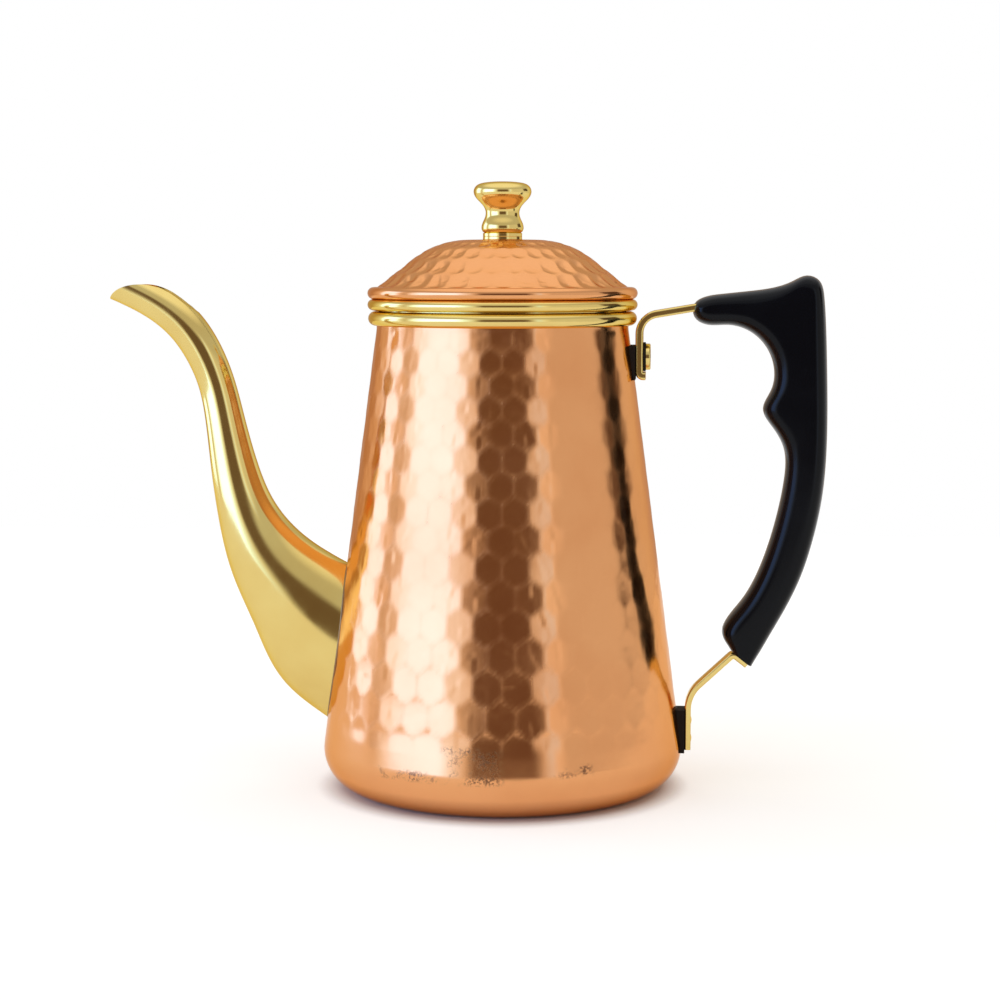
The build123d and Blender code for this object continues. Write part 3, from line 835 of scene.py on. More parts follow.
def plain_steel(name, colours):
    """Plain steel with a drawn grain along X."""
    look = Look(name, metallic=1.0)
    grain = look.noise(scale=500.0, stretch=(0.15, 1.0, 1.0))
    look.set("Base Color", look.mix(grain, rgba(colours.steel), (0.68, 0.68, 0.67, 1.0)))
    look.set("Roughness", look.ramp(grain, low=0.3, high=0.7, start=0.24, end=0.38))
    look.bump(grain, strength=0.08, distance=0.2 * MM)
    return look.material


def black_moulding(name, colours):
    """Black moulded grip: gloss with a faint mottle and rubbed patches."""
    look = Look(name)
    look.set("Specular IOR Level", 0.16)
    rub = look.ramp(look.noise(scale=28.0, detail=4.0), low=0.45, high=0.75)
    look.set("Base Color", look.mix(rub, rgba(colours.black), (0.004, 0.0045, 0.006, 1.0)))
    look.set("Roughness", look.ramp(rub, low=0.0, high=1.0, start=0.18, end=0.28))
    look.bump(look.noise(scale=520.0, detail=2.0), strength=0.03, distance=0.1 * MM)
    return look.material


def black_rubber_and_gap_shade(name, colours):
    """Dull black rubber with a fine grain; on the pads by the straps and the screw's washer its
    darkness also paints the shade in the gaps there.
    """
    look = Look(name)
    look.set("Specular IOR Level", 0.15)
    grain = look.noise(scale=650.0)
    look.set("Base Color", look.mix(grain, rgba(colours.rubber), (0.020, 0.014, 0.010, 1.0)))
    look.set("Roughness", look.ramp(grain, low=0.3, high=0.7, start=0.6, end=0.8))
    look.bump(grain, strength=0.2, distance=0.3 * MM)
    return look.material


def solder_line(name, colours):
    """The darkened solder line at the spout's root."""
    look = Look(name, metallic=1.0)
    speck = look.noise(scale=300.0)
    look.set("Base Color", look.mix(speck, (0.20, 0.11, 0.06, 1.0), (0.46, 0.30, 0.14, 1.0)))
    look.set("Roughness", look.ramp(speck, low=0.3, high=0.7, start=0.3, end=0.5))
    look.bump(speck, strength=0.3, distance=0.4 * MM)
    return look.material


FINISHES = {
    "hammered copper": hammered_copper,
    "plain copper": plain_copper,
    "polished brass": polished_brass,
    "wiped tin": wiped_tin,
    "plain steel": plain_steel,
    "black moulding": black_moulding,
    "soft black rubber": black_rubber_and_gap_shade,
    "solder line": solder_line,
}


def finish(name):
    """The finish of that name, made when it is first asked for."""
    if name not in bpy.data.materials:
        FINISHES[name](name, bpy.context.scene.kettle_finishes)
    return bpy.data.materials[name]


# Hammer marks

POT_MARK_SEGMENTS = 11
LID_MARK_SEGMENTS = 12
MARK_OVERLAP = 0.35
POT_SEED = 7
LID_SEED = 11
# Heights over which the pot's marks fade in, above the plain band and under the rim.
BAND_FADE = 5 * MM
RIM_FADE = 1.5 * MM
FIRST_ROW_DROP = 2.6 * MM
# How far the rows lie apart, as a share of the distance between two marks of a row.
ROW_PITCH = 1.04


def store_marks(mesh, depth, inside):
    """Stores how deep the marks may be at each point, from 0 to 1, and which faces are inside."""
    marks = mesh.attributes.new("marks", "FLOAT", "POINT")
    marks.data.foreach_set("value", depth.astype(np.float32))
    flags = mesh.attributes.new("inside", "BOOLEAN", "FACE")
    flags.data.foreach_set("value", inside.tolist())


def hammer(piece, rings, seed):
    """Strikes rings of marks into a piece, and makes its outside copper and its inside tin."""
    finishes = {"Outer Finish": finish("hammered copper"), "Inner Finish": finish("wiped tin")}
    values = {**rings, **finishes, "Overlap": MARK_OVERLAP, "Seed": seed}
    apply_tree(piece, hammer_tree(), values)


# Pot

PORT_SIDES = 48


def wall_tangent(pot):
    """How much the wall's radius grows for each length downwards."""
    return (pot.foot_radius - pot.neck_radius) / pot.neck_height


def wall_radius(pot, height):
    """The radius of the wall's outer line at a height."""
    return pot.neck_radius + (pot.neck_height - height) * wall_tangent(pot)


def foot_centre(pot):
    """Radius and height of the centre that the foot's corner is rounded about."""
    slant = pot.foot_rounding / math.cos(math.atan(wall_tangent(pot)))
    return pot.foot_radius - pot.foot_rounding * wall_tangent(pot) - slant, pot.foot_rounding


def pot_profile(pot):
    """The pot's section from the flange round the outside to the inside."""
    lean = math.atan(wall_tangent(pot))
    centre = foot_centre(pot)
    neck = (pot.neck_radius, pot.neck_height)
    lip = (pot.neck_radius, pot.neck_top)
    inner_rounding = pot.foot_rounding - pot.wall
    inner_neck = pot.neck_radius - pot.wall
    inner_bend = pot.neck_height - (pot.wall / math.cos(lean) - pot.wall) / wall_tangent(pot)

    def bend_end(radius):
        return (centre[0] + radius * math.cos(lean), centre[1] + radius * math.sin(lean))

    profile = [(pot.flange_radius, pot.wall), (pot.flange_radius, 0.0)]
    profile += arc(centre, pot.foot_rounding, -90, math.degrees(lean), steps=14)[:-1]
    profile += line(bend_end(pot.foot_rounding), neck, steps=150)
    profile += line(neck, lip, steps=2)
    profile.append(lip)
    profile += line((inner_neck, pot.neck_top), (inner_neck, inner_bend), steps=2)
    profile += line((inner_neck, inner_bend), bend_end(inner_rounding), steps=24)
    profile += arc(centre, inner_rounding, math.degrees(lean), -90, steps=8)
    return profile


def pot_mark_depth(pot, mesh):
    """How deep the marks may be at each point of the wall, from 0 to 1."""
    x, y, height = rows_of(mesh.vertices, "co").T
    outer_line = pot.neck_radius + np.maximum(pot.neck_height - height, 0) * wall_tangent(pot)
    outside = np.hypot(x, y) > outer_line - pot.wall / 2
    above_band = np.clip((height - pot.plain_band) / BAND_FADE, 0, 1)
    under_rim = np.clip((pot.neck_height + RIM_FADE - height) / RIM_FADE, 0, 1)
    lighter = np.interp(np.arctan2(y, x), pot.light_marks, (0, 1, 1, 0)) * pot.light_share
    return outside * above_band * under_rim * (1 - lighter)


def inside_pot(pot, mesh):
    """Which faces are on the wall's inner side: those past the middle of its thickness."""
    x, y, height = rows_of(mesh.polygons, "center").T
    reach = np.hypot(x, y)
    centre_radius, rounding = foot_centre(pot)
    in_corner = height < rounding
    from_centre = np.hypot(reach - centre_radius, height - rounding)
    outer_corner = in_corner & (from_centre > rounding - pot.wall / 2)
    within = reach < wall_radius(pot, height) - pot.wall / 2
    above_flange_edge = height > pot.wall * 0.6
    return within & above_flange_edge & ~outer_corner


def make_pot(context):
    """The hammered wall, with the port to the spout cut through it."""
    pot = context.scene.kettle_pot
    spout = context.scene.kettle_spout
    wall = lathe("hammered_pot", pot_profile(pot), pot.mark_columns * POT_MARK_SEGMENTS)
    store_marks(wall.data, pot_mark_depth(pot, wall.data), inside_pot(pot, wall.data))
    first_height = pot.neck_height - FIRST_ROW_DROP
    rings = {
        "Columns": pot.mark_columns,
        "Rows": pot.mark_rows,
        "First Radius": wall_radius(pot, first_height),
        "First Height": first_height,
        "Radius Growth": 1 + wall_tangent(pot) * ROW_PITCH * FULL_TURN / pot.mark_columns,
        "Radius Step": 0.0,
        "Fall": 1 / wall_tangent(pot),
        "Cut": pot.mark_cut,
        "Roundness": pot.mark_roundness,
        "Scatter": pot.mark_scatter,
    }
    hammer(wall, rings, POT_SEED)
    port = []
    for turn in turns_round(PORT_SIDES):
        side = pot.port_half_width * math.cos(turn)
        port.append((side, spout.root_height + pot.port_half_height * math.sin(turn)))
    cut_away(wall, [bar_along_x("port_cutter", port, -pot.foot_radius, -pot.neck_radius)])
    finish_piece(wall, "pot", "hammered_copper", "body_shell")


def make_base(context):
    """The disc that closes the foot, with a raised edge on the turned-in flange."""
    pot = context.scene.kettle_pot
    lap = pot.flange_radius + pot.seam_lap
    edge = pot.flange_radius - pot.solder_gap
    soft = 0.25 * MM
    raised = 2 * pot.wall
    profile = [(0, 0), (edge * 0.5, 0), (edge - soft, 0), (edge, soft), (edge, pot.wall)]
    profile += [(lap, pot.wall), (lap, raised), (edge - pot.wall, raised)]
    profile += [(edge - pot.wall, pot.wall), (0, pot.wall)]
    disc = lathe("base_disc", profile, segments=144, closed=False)
    set_faces(disc, finish("plain copper"), finish("wiped tin"))
    for face in disc.data.polygons:
        if face.normal.z > 0.5:
            face.material_index = 1
    finish_piece(disc, "pot", "copper", "base_plate")


def make_rim(context):
    """The brass bead rolled round the pot's mouth."""
    pot = context.scene.kettle_pot
    half = pot.rim_thickness / 2
    centre = (pot.rim_radius - half, pot.rim_bottom + half)
    inner = pot.neck_radius - pot.wall
    start = -math.degrees(math.acos((pot.neck_radius - centre[0]) / half))
    end = math.degrees(math.acos((inner - centre[0]) / half))
    profile = arc(centre, half, start, end, steps=40)
    profile += [(inner, pot.neck_top), (pot.neck_radius, pot.neck_top)]
    bead = lathe("rim_ring", profile, segments=192)
    finish_brass(bead, "pot", "rim_bead")


# Spout

# Each station is a share of the reach, a share of the rise, and half the height and width in mm.
SPOUT_STATIONS = (
    (-0.273, -0.111, 28.5, 15.0),
    (-0.095, -0.043, 27.3, 15.0),
    (0.025, 0.008, 26.0, 14.5),
    (0.205, 0.127, 19.2, 13.2),
    (0.329, 0.233, 14.4, 11.6),
    (0.416, 0.352, 10.5, 9.8),
    (0.470, 0.483, 8.3, 8.1),
    (0.507, 0.609, 7.0, 7.0),
    (0.547, 0.720, 6.5, 6.5),
    (0.602, 0.803, 6.6, 6.5),
    (0.689, 0.882, 6.7, 6.5),
    (0.826, 0.948, 6.45, 6.3),
    (1.000, 1.000, 6.3, 6.2),
)
# The wall cuts the spout before the first of these stations, the mouth's cut comes after the other.
HALF_WAY = 7
NEAR_MOUTH = 9
# The mouth's rim as offsets from the tip in mm, from under the beak back along the top.
MOUTH_RIM = ((-3.4, -9.6), (1.2, -3.9), (8.6, -1.2), (18.5, -2.9), (30.5, -11.6))
# A height that is far beyond the kettle's.
FAR = 1.0
RIM_POINTS = 200
MOUTH_TRIES = 90
HALVINGS = 40
SPOUT_COLUMNS = 96
SPOUT_ROWS = 170
SEAM_POINTS = 160
SEAM_SIDES = 10
# How deep the seam's middle sits in the wall, as a share of its radius.
SEAM_SUNK = 0.35


def rising_root(value_of, low, high):
    """Where a value that rises through zero is zero."""
    for _ in range(HALVINGS):
        middle = (low + high) / 2
        if value_of(middle) > 0:
            high = middle
        else:
            low = middle
    return (low + high) / 2


class SpoutShape:
    """The goose-neck's surface as points at a place along it and a turn round it."""

    def __init__(self, pot, spout, sunk):
        self.pot = pot
        self.sunk = sunk
        root_x = -wall_radius(pot, spout.root_height)
        rise = spout.tip_height - spout.root_height
        centres = np.array(
            [(root_x - s[0] * spout.reach, spout.root_height + s[1] * rise) for s in SPOUT_STATIONS]
        )
        padded = np.vstack([centres[:1], centres, centres[-1:]])
        tangents = padded[2:] - padded[:-2]
        lean = np.unwrap(np.arctan2(tangents[:, 1], tangents[:, 0]))
        halves = np.array([s[2:] for s in SPOUT_STATIONS]) * MM
        self.knots = chord_knots(centres)
        self.shape = cubic_curve(self.knots, np.column_stack([centres, lean, halves]))
        rim = centres[-1] + np.array(MOUTH_RIM) * MM
        rim_knots = chord_knots(rim)
        self.rim = cubic_curve(rim_knots, rim)(np.linspace(0, rim_knots[-1], RIM_POINTS))

    def point(self, along, turn, inset):
        """The surface's point, with turn 0 on top."""
        x, z, lean, half_height, half_width = self.shape(along)[0]
        up = (half_height - inset) * math.cos(turn)
        return np.array(
            [
                x + math.sin(lean) * up,
                (half_width - inset) * math.sin(turn),
                z - math.cos(lean) * up,
            ]
        )

    def above_rim(self, along, turn, inset):
        """How far a point is above the mouth's rim line: before the rim all are, behind it none."""
        x, _, z = self.point(along, turn, inset)
        return z - np.interp(x, self.rim[:, 0], self.rim[:, 1], left=-FAR, right=FAR)

    def out_of_wall(self, along, turn, inset):
        """How far a point is outside the line that the spout's edge is sunk to."""
        x, y, z = self.point(along, turn, inset)
        return math.hypot(x, y) - (wall_radius(self.pot, z) - self.sunk)

    def root(self, turn, inset):
        """Where the surface leaves the pot's wall at a turn."""
        return rising_root(lambda a: self.out_of_wall(a, turn, inset), 0.0, self.knots[HALF_WAY])

    def cut_off(self, turn, inset):
        """Where the mouth's cut ends the surface at a turn."""
        places = np.linspace(self.knots[NEAR_MOUTH], self.knots[-1], MOUTH_TRIES)
        gone = [self.above_rim(along, turn, inset) > 0 for along in places]
        first = gone.index(True)
        return rising_root(
            lambda a: self.above_rim(a, turn, inset), places[first - 1], places[first]
        )

    def surface(self, inset):
        """Rows of points from the pot's wall to the mouth's rim."""
        turns = turns_round(SPOUT_COLUMNS)
        spans = []
        for turn in turns:
            low = self.root(turn, inset)
            spans.append((low, self.cut_off(turn, inset) - low))
        return [
            self.point(low + reach * part, turn, inset)
            for part in np.linspace(0, 1, SPOUT_ROWS)
            for turn, (low, reach) in zip(turns, spans)
        ]


def make_spout(context):
    """The hollow goose-neck, from the wall to the cut of its mouth."""
    pot = context.scene.kettle_pot
    spout = context.scene.kettle_spout
    shape = SpoutShape(pot, spout, spout.sunk)
    points = shape.surface(0.0) + shape.surface(spout.wall)
    faces = grid_faces(SPOUT_ROWS, SPOUT_COLUMNS)
    inside = len(points) // 2
    faces += [tuple(inside + k for k in reversed(face)) for face in faces]
    for ring in (0, inside - SPOUT_COLUMNS):
        for j in range(SPOUT_COLUMNS):
            k = (j + 1) % SPOUT_COLUMNS
            faces.append((ring + j, ring + k, inside + ring + k, inside + ring + j))
    neck = new_piece("goose_neck", points, faces, crease=50.0)
    finish_brass(neck, "pot", "spout")


def make_seam(context):
    """The thin line of solder where the spout meets the wall."""
    pot = context.scene.kettle_pot
    spout = context.scene.kettle_spout
    shape = SpoutShape(pot, spout, spout.seam * SEAM_SUNK)
    turns = turns_round(SEAM_POINTS)
    spots = [tuple(shape.point(shape.root(turn, 0.0), turn, 0.0)) for turn in turns]
    edges = [(k, (k + 1) % SEAM_POINTS) for k in range(SEAM_POINTS)]
    mesh = bpy.data.meshes.new("solder_seam")
    mesh.from_pydata(spots, edges, [])
    seam = place("solder_seam", mesh)
    values = {"Bead Radius": spout.seam, "Sides": SEAM_SIDES, "Finish": finish("solder line")}
    apply_tree(seam, seam_tree(), values)
    settle(seam.data, crease=60.0)
    finish_piece(seam, "pot", "brass")


# Lid

KNOB_HOLE = 2.1 * MM
CURL_SWEEP = 330
# The upward part of a normal from which the dome counts as facing up.
UPWARD = 0.3
# The knob's outline from its foot to its top, as radius and height in mm.
KNOB_SHAPE = (
    (6.85, 0.0),
    (7.25, 0.7),
    (7.4, 1.7),
    (7.0, 3.3),
    (6.2, 5.1),
    (5.9, 6.7),
    (6.5, 8.7),
    (8.0, 10.5),
    (9.5, 12.2),
    (10.15, 14.1),
    (9.9, 15.2),
    (9.25, 16.1),
    (6.5, 17.2),
    (3.2, 17.53),
    (0.0, 17.6),
)
KNOB_POINTS = 90


def dome_line(lid, inset):
    """The dome's section, drawn in by an inset, with its foot and the centre of the curl."""
    curl = lid.curl_thickness / 2
    collar_top = lid.collar_bottom + lid.collar_thickness
    top = collar_top + lid.dome_rise
    curl_centre = (lid.lid_radius - curl, collar_top + curl)
    edge_r = curl_centre[0] + curl * math.cos(lid.curl_start)
    edge_z = curl_centre[1] + curl * math.sin(lid.curl_start)
    slope = lid.dome_slope
    reach = math.tan(slope) * (edge_r - lid.crown_radius) - (top - edge_z)
    bend = reach / (1 / math.cos(slope) - 1)
    centre = (lid.crown_radius, top - bend)
    radius = bend - inset
    points = line((KNOB_HOLE, top - inset), (lid.crown_radius, top - inset), steps=6)
    points += arc(centre, radius, 90, 90 - math.degrees(slope), steps=34)[:-1]
    start = (
        lid.crown_radius + radius * math.sin(slope),
        centre[1] + radius * math.cos(slope),
    )
    foot = (edge_r - inset * math.sin(slope), edge_z - inset * math.cos(slope))
    points += line(start, foot, steps=24)
    return points, foot, curl_centre


def lid_mark_depth(lid, mesh):
    """How deep the marks may be at each point: full on top between the boss and the curl."""
    x, y, _ = rows_of(mesh.vertices, "co").T
    radius = np.hypot(x, y)
    on_top = rows_of(mesh.vertex_normals, "vector")[:, 2] > UPWARD
    fade = 0.5 * MM
    inner_edge = np.clip((radius - lid.mark_inner) / fade, 0, 1)
    outer_edge = np.clip((lid.mark_outer - radius) / fade, 0, 1)
    return on_top * inner_edge * outer_edge


def make_dome(context):
    """The hammered dome of the lid, with its curled edge."""
    lid = context.scene.kettle_lid
    outer, foot, curl_centre = dome_line(lid, 0.0)
    inner, inner_foot, _ = dome_line(lid, lid.sheet)
    curl = lid.curl_thickness / 2
    start = math.degrees(lid.curl_start)
    # The inside has no marks, so every fourth of its points is enough.
    profile = outer + arc(curl_centre, curl, start, start - CURL_SWEEP, steps=48)
    profile += [inner_foot] + inner[::4][::-1]
    dome = lathe("hammered_dome", profile, lid.mark_columns * LID_MARK_SEGMENTS)
    x, y, _ = rows_of(dome.data.polygons, "center").T
    facing_down = rows_of(dome.data.polygons, "normal")[:, 2] < UPWARD
    curl_edge = curl_centre[0] - curl * 0.9
    inside = facing_down & (np.hypot(x, y) < curl_edge)
    store_marks(dome.data, lid_mark_depth(lid, dome.data), inside)
    fall = math.tan(lid.dome_slope)
    rings = {
        "Columns": lid.mark_columns,
        "Rows": lid.mark_rings,
        "First Radius": lid.first_ring,
        "First Height": foot[1] + (foot[0] - lid.first_ring) * fall,
        "Radius Growth": 1.0,
        "Radius Step": lid.ring_step,
        "Fall": fall,
        "Cut": lid.mark_cut,
        "Roundness": lid.mark_roundness,
        "Scatter": lid.mark_scatter,
    }
    hammer(dome, rings, LID_SEED)
    finish_piece(dome, "lid", "hammered_copper", "lid_dome")


def make_collar(context):
    """The brass ring under the dome, with the skirt that sits in the neck."""
    lid = context.scene.kettle_lid
    bead = lid.collar_thickness / 2
    centre = (lid.lid_radius - bead, lid.collar_bottom + bead)
    top = lid.collar_bottom + lid.collar_thickness
    low = lid.collar_bottom - lid.skirt_depth
    inner_radius = lid.skirt_radius - lid.sheet
    edge = lid.sheet / 2
    shoulder = top - 1.3 * MM
    chamfer_width, chamfer_depth = 1.0 * MM, 0.6 * MM
    profile = arc((inner_radius + edge, low + edge), edge, 180, 360, steps=10)
    profile += [(lid.skirt_radius, lid.collar_bottom), (lid.skirt_radius, shoulder)]
    profile += arc(centre, bead, 160, 450, steps=44)
    profile += [(inner_radius + chamfer_width, top), (inner_radius, top - chamfer_depth)]
    collar = lathe("collar_ring", profile, segments=192)
    finish_brass(collar, "lid", "lid_collar")


def make_knob_ring(context):
    """The turned ring between the crown and the knob."""
    lid = context.scene.kettle_lid
    base = lid.collar_bottom + lid.collar_thickness + lid.dome_rise
    top = base + lid.ring_height
    radius = lid.ring_radius
    soft = 0.2 * MM
    rib = 0.15 * MM
    rib_centre = (radius - rib, base + lid.ring_height * 0.42)
    chamfer = 0.5 * MM
    profile = [(KNOB_HOLE, base), (radius - soft, base), (radius, base + soft)]
    profile += arc(rib_centre, rib, -60, 60, steps=4)
    profile += [(radius, top - chamfer), (radius - chamfer, top), (KNOB_HOLE, top)]
    ring = lathe("knob_foot", profile, segments=96)
    finish_brass(ring, "lid", "knob_ring")


def make_knob(context):
    """The turned knob, with the hole for its screw."""
    lid = context.scene.kettle_lid
    base = lid.collar_bottom + lid.collar_thickness + lid.dome_rise + lid.ring_height
    hole_top = base + 2 * MM
    rows = np.array(KNOB_SHAPE) * MM * (lid.knob_height / (KNOB_SHAPE[-1][1] * MM))
    knots = chord_knots(rows)
    curve = cubic_curve(knots, rows)(np.linspace(0, knots[-1], KNOB_POINTS))
    curve[-1] = (0.0, lid.knob_height)
    curve[:, 0] = np.clip(curve[:, 0], 0, None)
    profile = [(0.0, hole_top), (KNOB_HOLE, hole_top), (KNOB_HOLE, base)]
    profile += [(r, base + z) for r, z in curve]
    knob = lathe("turned_knob", profile, segments=128, closed=False)
    finish_brass(knob, "lid", "knob")


# Handle

# The grip's outline from its nose down the inner side, round the lower end and back up,
# in shares of its reach and its drop from the nose.
GRIP_SHARES = (
    (0.011, -0.025),
    (0.089, -0.045),
    (0.264, -0.047),
    (0.425, -0.066),
    (0.556, -0.117),
    (0.602, -0.173),
    (0.580, -0.229),
    (0.523, -0.280),
    (0.600, -0.334),
    (0.684, -0.397),
    (0.684, -0.479),
    (0.624, -0.594),
    (0.531, -0.708),
    (0.374, -0.823),
    (0.266, -0.877),
    (0.237, -0.907),
    (0.258, -0.933),
    (0.298, -0.956),
    (0.316, -0.990),
    (0.310, -1.035),
    (0.350, -1.082),
    (0.400, -1.058),
    (0.446, -1.013),
    (0.512, -0.969),
    (0.588, -0.919),
    (0.664, -0.868),
    (0.808, -0.757),
    (0.902, -0.645),
    (0.963, -0.532),
    (0.995, -0.368),
    (0.990, -0.185),
    (0.975, -0.041),
    (0.960, 0.032),
    (0.920, 0.077),
    (0.835, 0.090),
    (0.732, 0.075),
    (0.594, 0.057),
    (0.412, 0.047),
    (0.211, 0.039),
    (0.089, 0.031),
    (0.011, 0.012),
)
# The line along the grip's middle, in the same shares.
GRIP_SPINE = (
    (0.100, -0.006),
    (0.264, -0.003),
    (0.425, -0.007),
    (0.580, -0.014),
    (0.700, -0.038),
    (0.765, -0.090),
    (0.795, -0.170),
    (0.785, -0.270),
    (0.825, -0.380),
    (0.830, -0.480),
    (0.775, -0.600),
    (0.670, -0.733),
    (0.520, -0.846),
    (0.410, -0.930),
    (0.390, -1.030),
)
GRIP_REACH = 47.3 * MM
GRIP_DROP = 125.7 * MM
# The start of the grip's end face, in the same shares.
END_FACE_START = (0.338, -0.965)
GRIP_POINTS = 320
GRIP_LEVELS = 33
SPINE_POINTS = 400
# How many neighbours on each side the nearest places on the spine are averaged with.
SPINE_SMOOTHING = 7
# The rounding of the grip's sides reaches at most this share of the way to the spine.
DEEPEST_CROWN = 0.85

# The upper strap: its foot below the neck, its gap to the wall, its lip, and its run to the grip.
UPPER_FOOT_DROP = 17.9 * MM
UPPER_GAP = 0.2 * MM
UPPER_LIP = 2.2 * MM
UPPER_RISE = 4.1 * MM
UPPER_SLOPE = math.radians(9.5)
UPPER_RUN = 18.6 * MM
UPPER_TANG = 17.2 * MM
UPPER_BENDS = (1.5 * MM, 7.0 * MM)
# The lower strap: its foot, its gap to the wall, its bend to the grip, and its tab.
LOWER_FOOT_HEIGHT = 13.7 * MM
LOWER_GAP = 1.1 * MM
LOWER_BEND_HEIGHT = 33.4 * MM
LOWER_TAB = 6.1 * MM
LOWER_BENDS = (12.0 * MM, 1.6 * MM)

SCREW_DROP = 9.9 * MM
WASHER_RADIUS = 5.1 * MM
WASHER_THICKNESS = 1.0 * MM
SHANK_RADIUS = 2.0 * MM
RECESS_SPAN = 5.2 * MM
RECESS_WIDTH = 0.9 * MM
RECESS_DEPTH = 0.8 * MM
BIT_HEIGHT = 1.0 * MM
RIVET_HEIGHTS = (17.5 * MM, 24.0 * MM)
RIVET_DOME_RINGS = 8


def upper_strap_x(context):
    """The middle of the upper strap where it runs down the wall."""
    pot = context.scene.kettle_pot
    wall = wall_radius(pot, pot.neck_height - UPPER_FOOT_DROP)
    return wall + UPPER_GAP + context.scene.kettle_handle.upper_strap / 2


def lower_strap_x(context):
    """The middle of the lower strap where it runs up the wall."""
    wall = wall_radius(context.scene.kettle_pot, LOWER_FOOT_HEIGHT)
    return wall + LOWER_GAP + context.scene.kettle_handle.lower_strap / 2


def upper_run_point(context, distance):
    """A point on the upper strap's run to the grip, at a distance from the strap's foot."""
    start = context.scene.kettle_pot.neck_height + UPPER_RISE
    return np.array(
        (upper_strap_x(context) + distance, start + distance * math.tan(UPPER_SLOPE))
    )


def grip_places(context, shares):
    """Places given in shares of the grip's reach and drop from its nose."""
    return upper_run_point(context, UPPER_RUN) + np.array(shares) * (GRIP_REACH, GRIP_DROP)


def end_face_point(context, along, out):
    """A point by the grip's end face: along it down and outwards, and out of the grip."""
    turn = context.scene.kettle_handle.end_angle
    down = np.array((math.cos(turn), -math.sin(turn)))
    away = np.array((-math.sin(turn), -math.cos(turn)))
    return grip_places(context, END_FACE_START) + down * along + away * out


def make_upper_strap(context):
    """The strap from the wall up and over to the grip's nose, with its tang in the grip."""
    pot = context.scene.kettle_pot
    handle = context.scene.kettle_handle
    foot_x = upper_strap_x(context)
    lip_height = pot.neck_height - UPPER_FOOT_DROP + handle.upper_strap / 2
    corners = (
        (foot_x + UPPER_LIP, lip_height),
        (foot_x, lip_height),
        upper_run_point(context, 0),
        upper_run_point(context, UPPER_RUN + UPPER_TANG),
    )
    path = rounded_path(corners, UPPER_BENDS)
    piece = strap("upper_strap", path, handle.upper_width, handle.upper_strap, handle.strap_edge)
    finish_brass(piece, "pot", "upper_bracket")


def make_lower_strap(context):
    """The strap from the foot of the wall up to the grip's end face."""
    handle = context.scene.kettle_handle
    foot_x = lower_strap_x(context)
    half = handle.lower_strap / 2
    corners = (
        (foot_x, LOWER_FOOT_HEIGHT),
        (foot_x, LOWER_BEND_HEIGHT),
        end_face_point(context, 0, half),
        end_face_point(context, LOWER_TAB, half),
    )
    path = rounded_path(corners, LOWER_BENDS)
    piece = strap("lower_strap", path, handle.lower_width, handle.lower_strap, handle.strap_edge)
    finish_brass(piece, "pot", "lower_bracket")


def screw_place(context):
    """The upper screw's height, and the outer face of the strap that it holds."""
    face = upper_strap_x(context) + context.scene.kettle_handle.upper_strap / 2
    return context.scene.kettle_pot.neck_height - SCREW_DROP, face


def make_washer(context):
    """The dark washer under the upper screw's head: black rubber, whose darkness also paints the
    shade between the head and the strap.
    """
    height, face = screw_place(context)
    soft = 0.2 * MM
    rim = WASHER_RADIUS - soft
    outer = face + WASHER_THICKNESS
    profile = [(face, 0), (face, rim), (face + soft, WASHER_RADIUS)]
    profile += [(outer - soft, WASHER_RADIUS), (outer, rim), (outer, 0)]
    washer = lathe_along_x("screw_washer", [(height, profile)], segments=64)
    set_faces(washer, finish("soft black rubber"))
    finish_piece(washer, "pot", "dark_rubber", "upper_washer")


def make_screw(context):
    """The upper screw: its shank, its pan head and the cross recess in it."""
    handle = context.scene.kettle_handle
    height, face = screw_place(context)
    outer = face + WASHER_THICKNESS
    top = outer + handle.head_height
    radius = handle.head_radius
    edge = 0.5 * MM
    soft = 0.1 * MM
    flat = radius * 0.6
    tip = min(corner[0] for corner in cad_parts["upper_screw"].bound_box)
    profile = [(tip, 0), (tip, SHANK_RADIUS), (outer, SHANK_RADIUS)]
    profile += [(outer, radius - soft), (outer + soft, radius)]
    profile += arc((top - edge, radius - edge), edge, 90, 0, steps=8)
    profile += [(top, flat), (top, 0)]
    head = lathe_along_x("screw_head", [(height, profile)], segments=96)
    bits = []
    for width, tall in ((RECESS_SPAN, RECESS_WIDTH), (RECESS_WIDTH, RECESS_SPAN)):
        corners = ((-1, -1), (1, -1), (1, 1), (-1, 1))
        outline = [(y * width / 2, height + z * tall / 2) for y, z in corners]
        bits.append(bar_along_x("driver_bit", outline, top - RECESS_DEPTH, top + BIT_HEIGHT))
    cut_away(head, bits)
    settle(head.data, crease=30.0)
    finish_brass(head, "pot", "upper_screw")


def make_rivets(context):
    """Two rivets through the lower strap: a flat head inside the pot, a low dome outside."""
    pot = context.scene.kettle_pot
    handle = context.scene.kettle_handle
    radius = handle.rivet_radius
    head = handle.rivet_head
    face = lower_strap_x(context) + handle.lower_strap / 2
    soft = 0.2 * MM
    profiles = []
    for height in RIVET_HEIGHTS:
        wall = wall_radius(pot, height) - pot.wall
        inner = wall - handle.rivet_height
        sunk = wall + pot.wall / 2
        profile = [(inner, 0), (inner, head - soft), (inner + soft, head), (sunk, head)]
        profile += [(sunk, radius), (face - soft, radius)]
        for part in np.linspace(1, 0, RIVET_DOME_RINGS):
            profile.append((face + handle.rivet_dome * (1 - part**2), radius * part))
        profiles.append((height, profile))
    rivets = lathe_along_x("rivet_pair", profiles, segments=48)
    finish_brass(rivets, "pot", "lower_rivets")


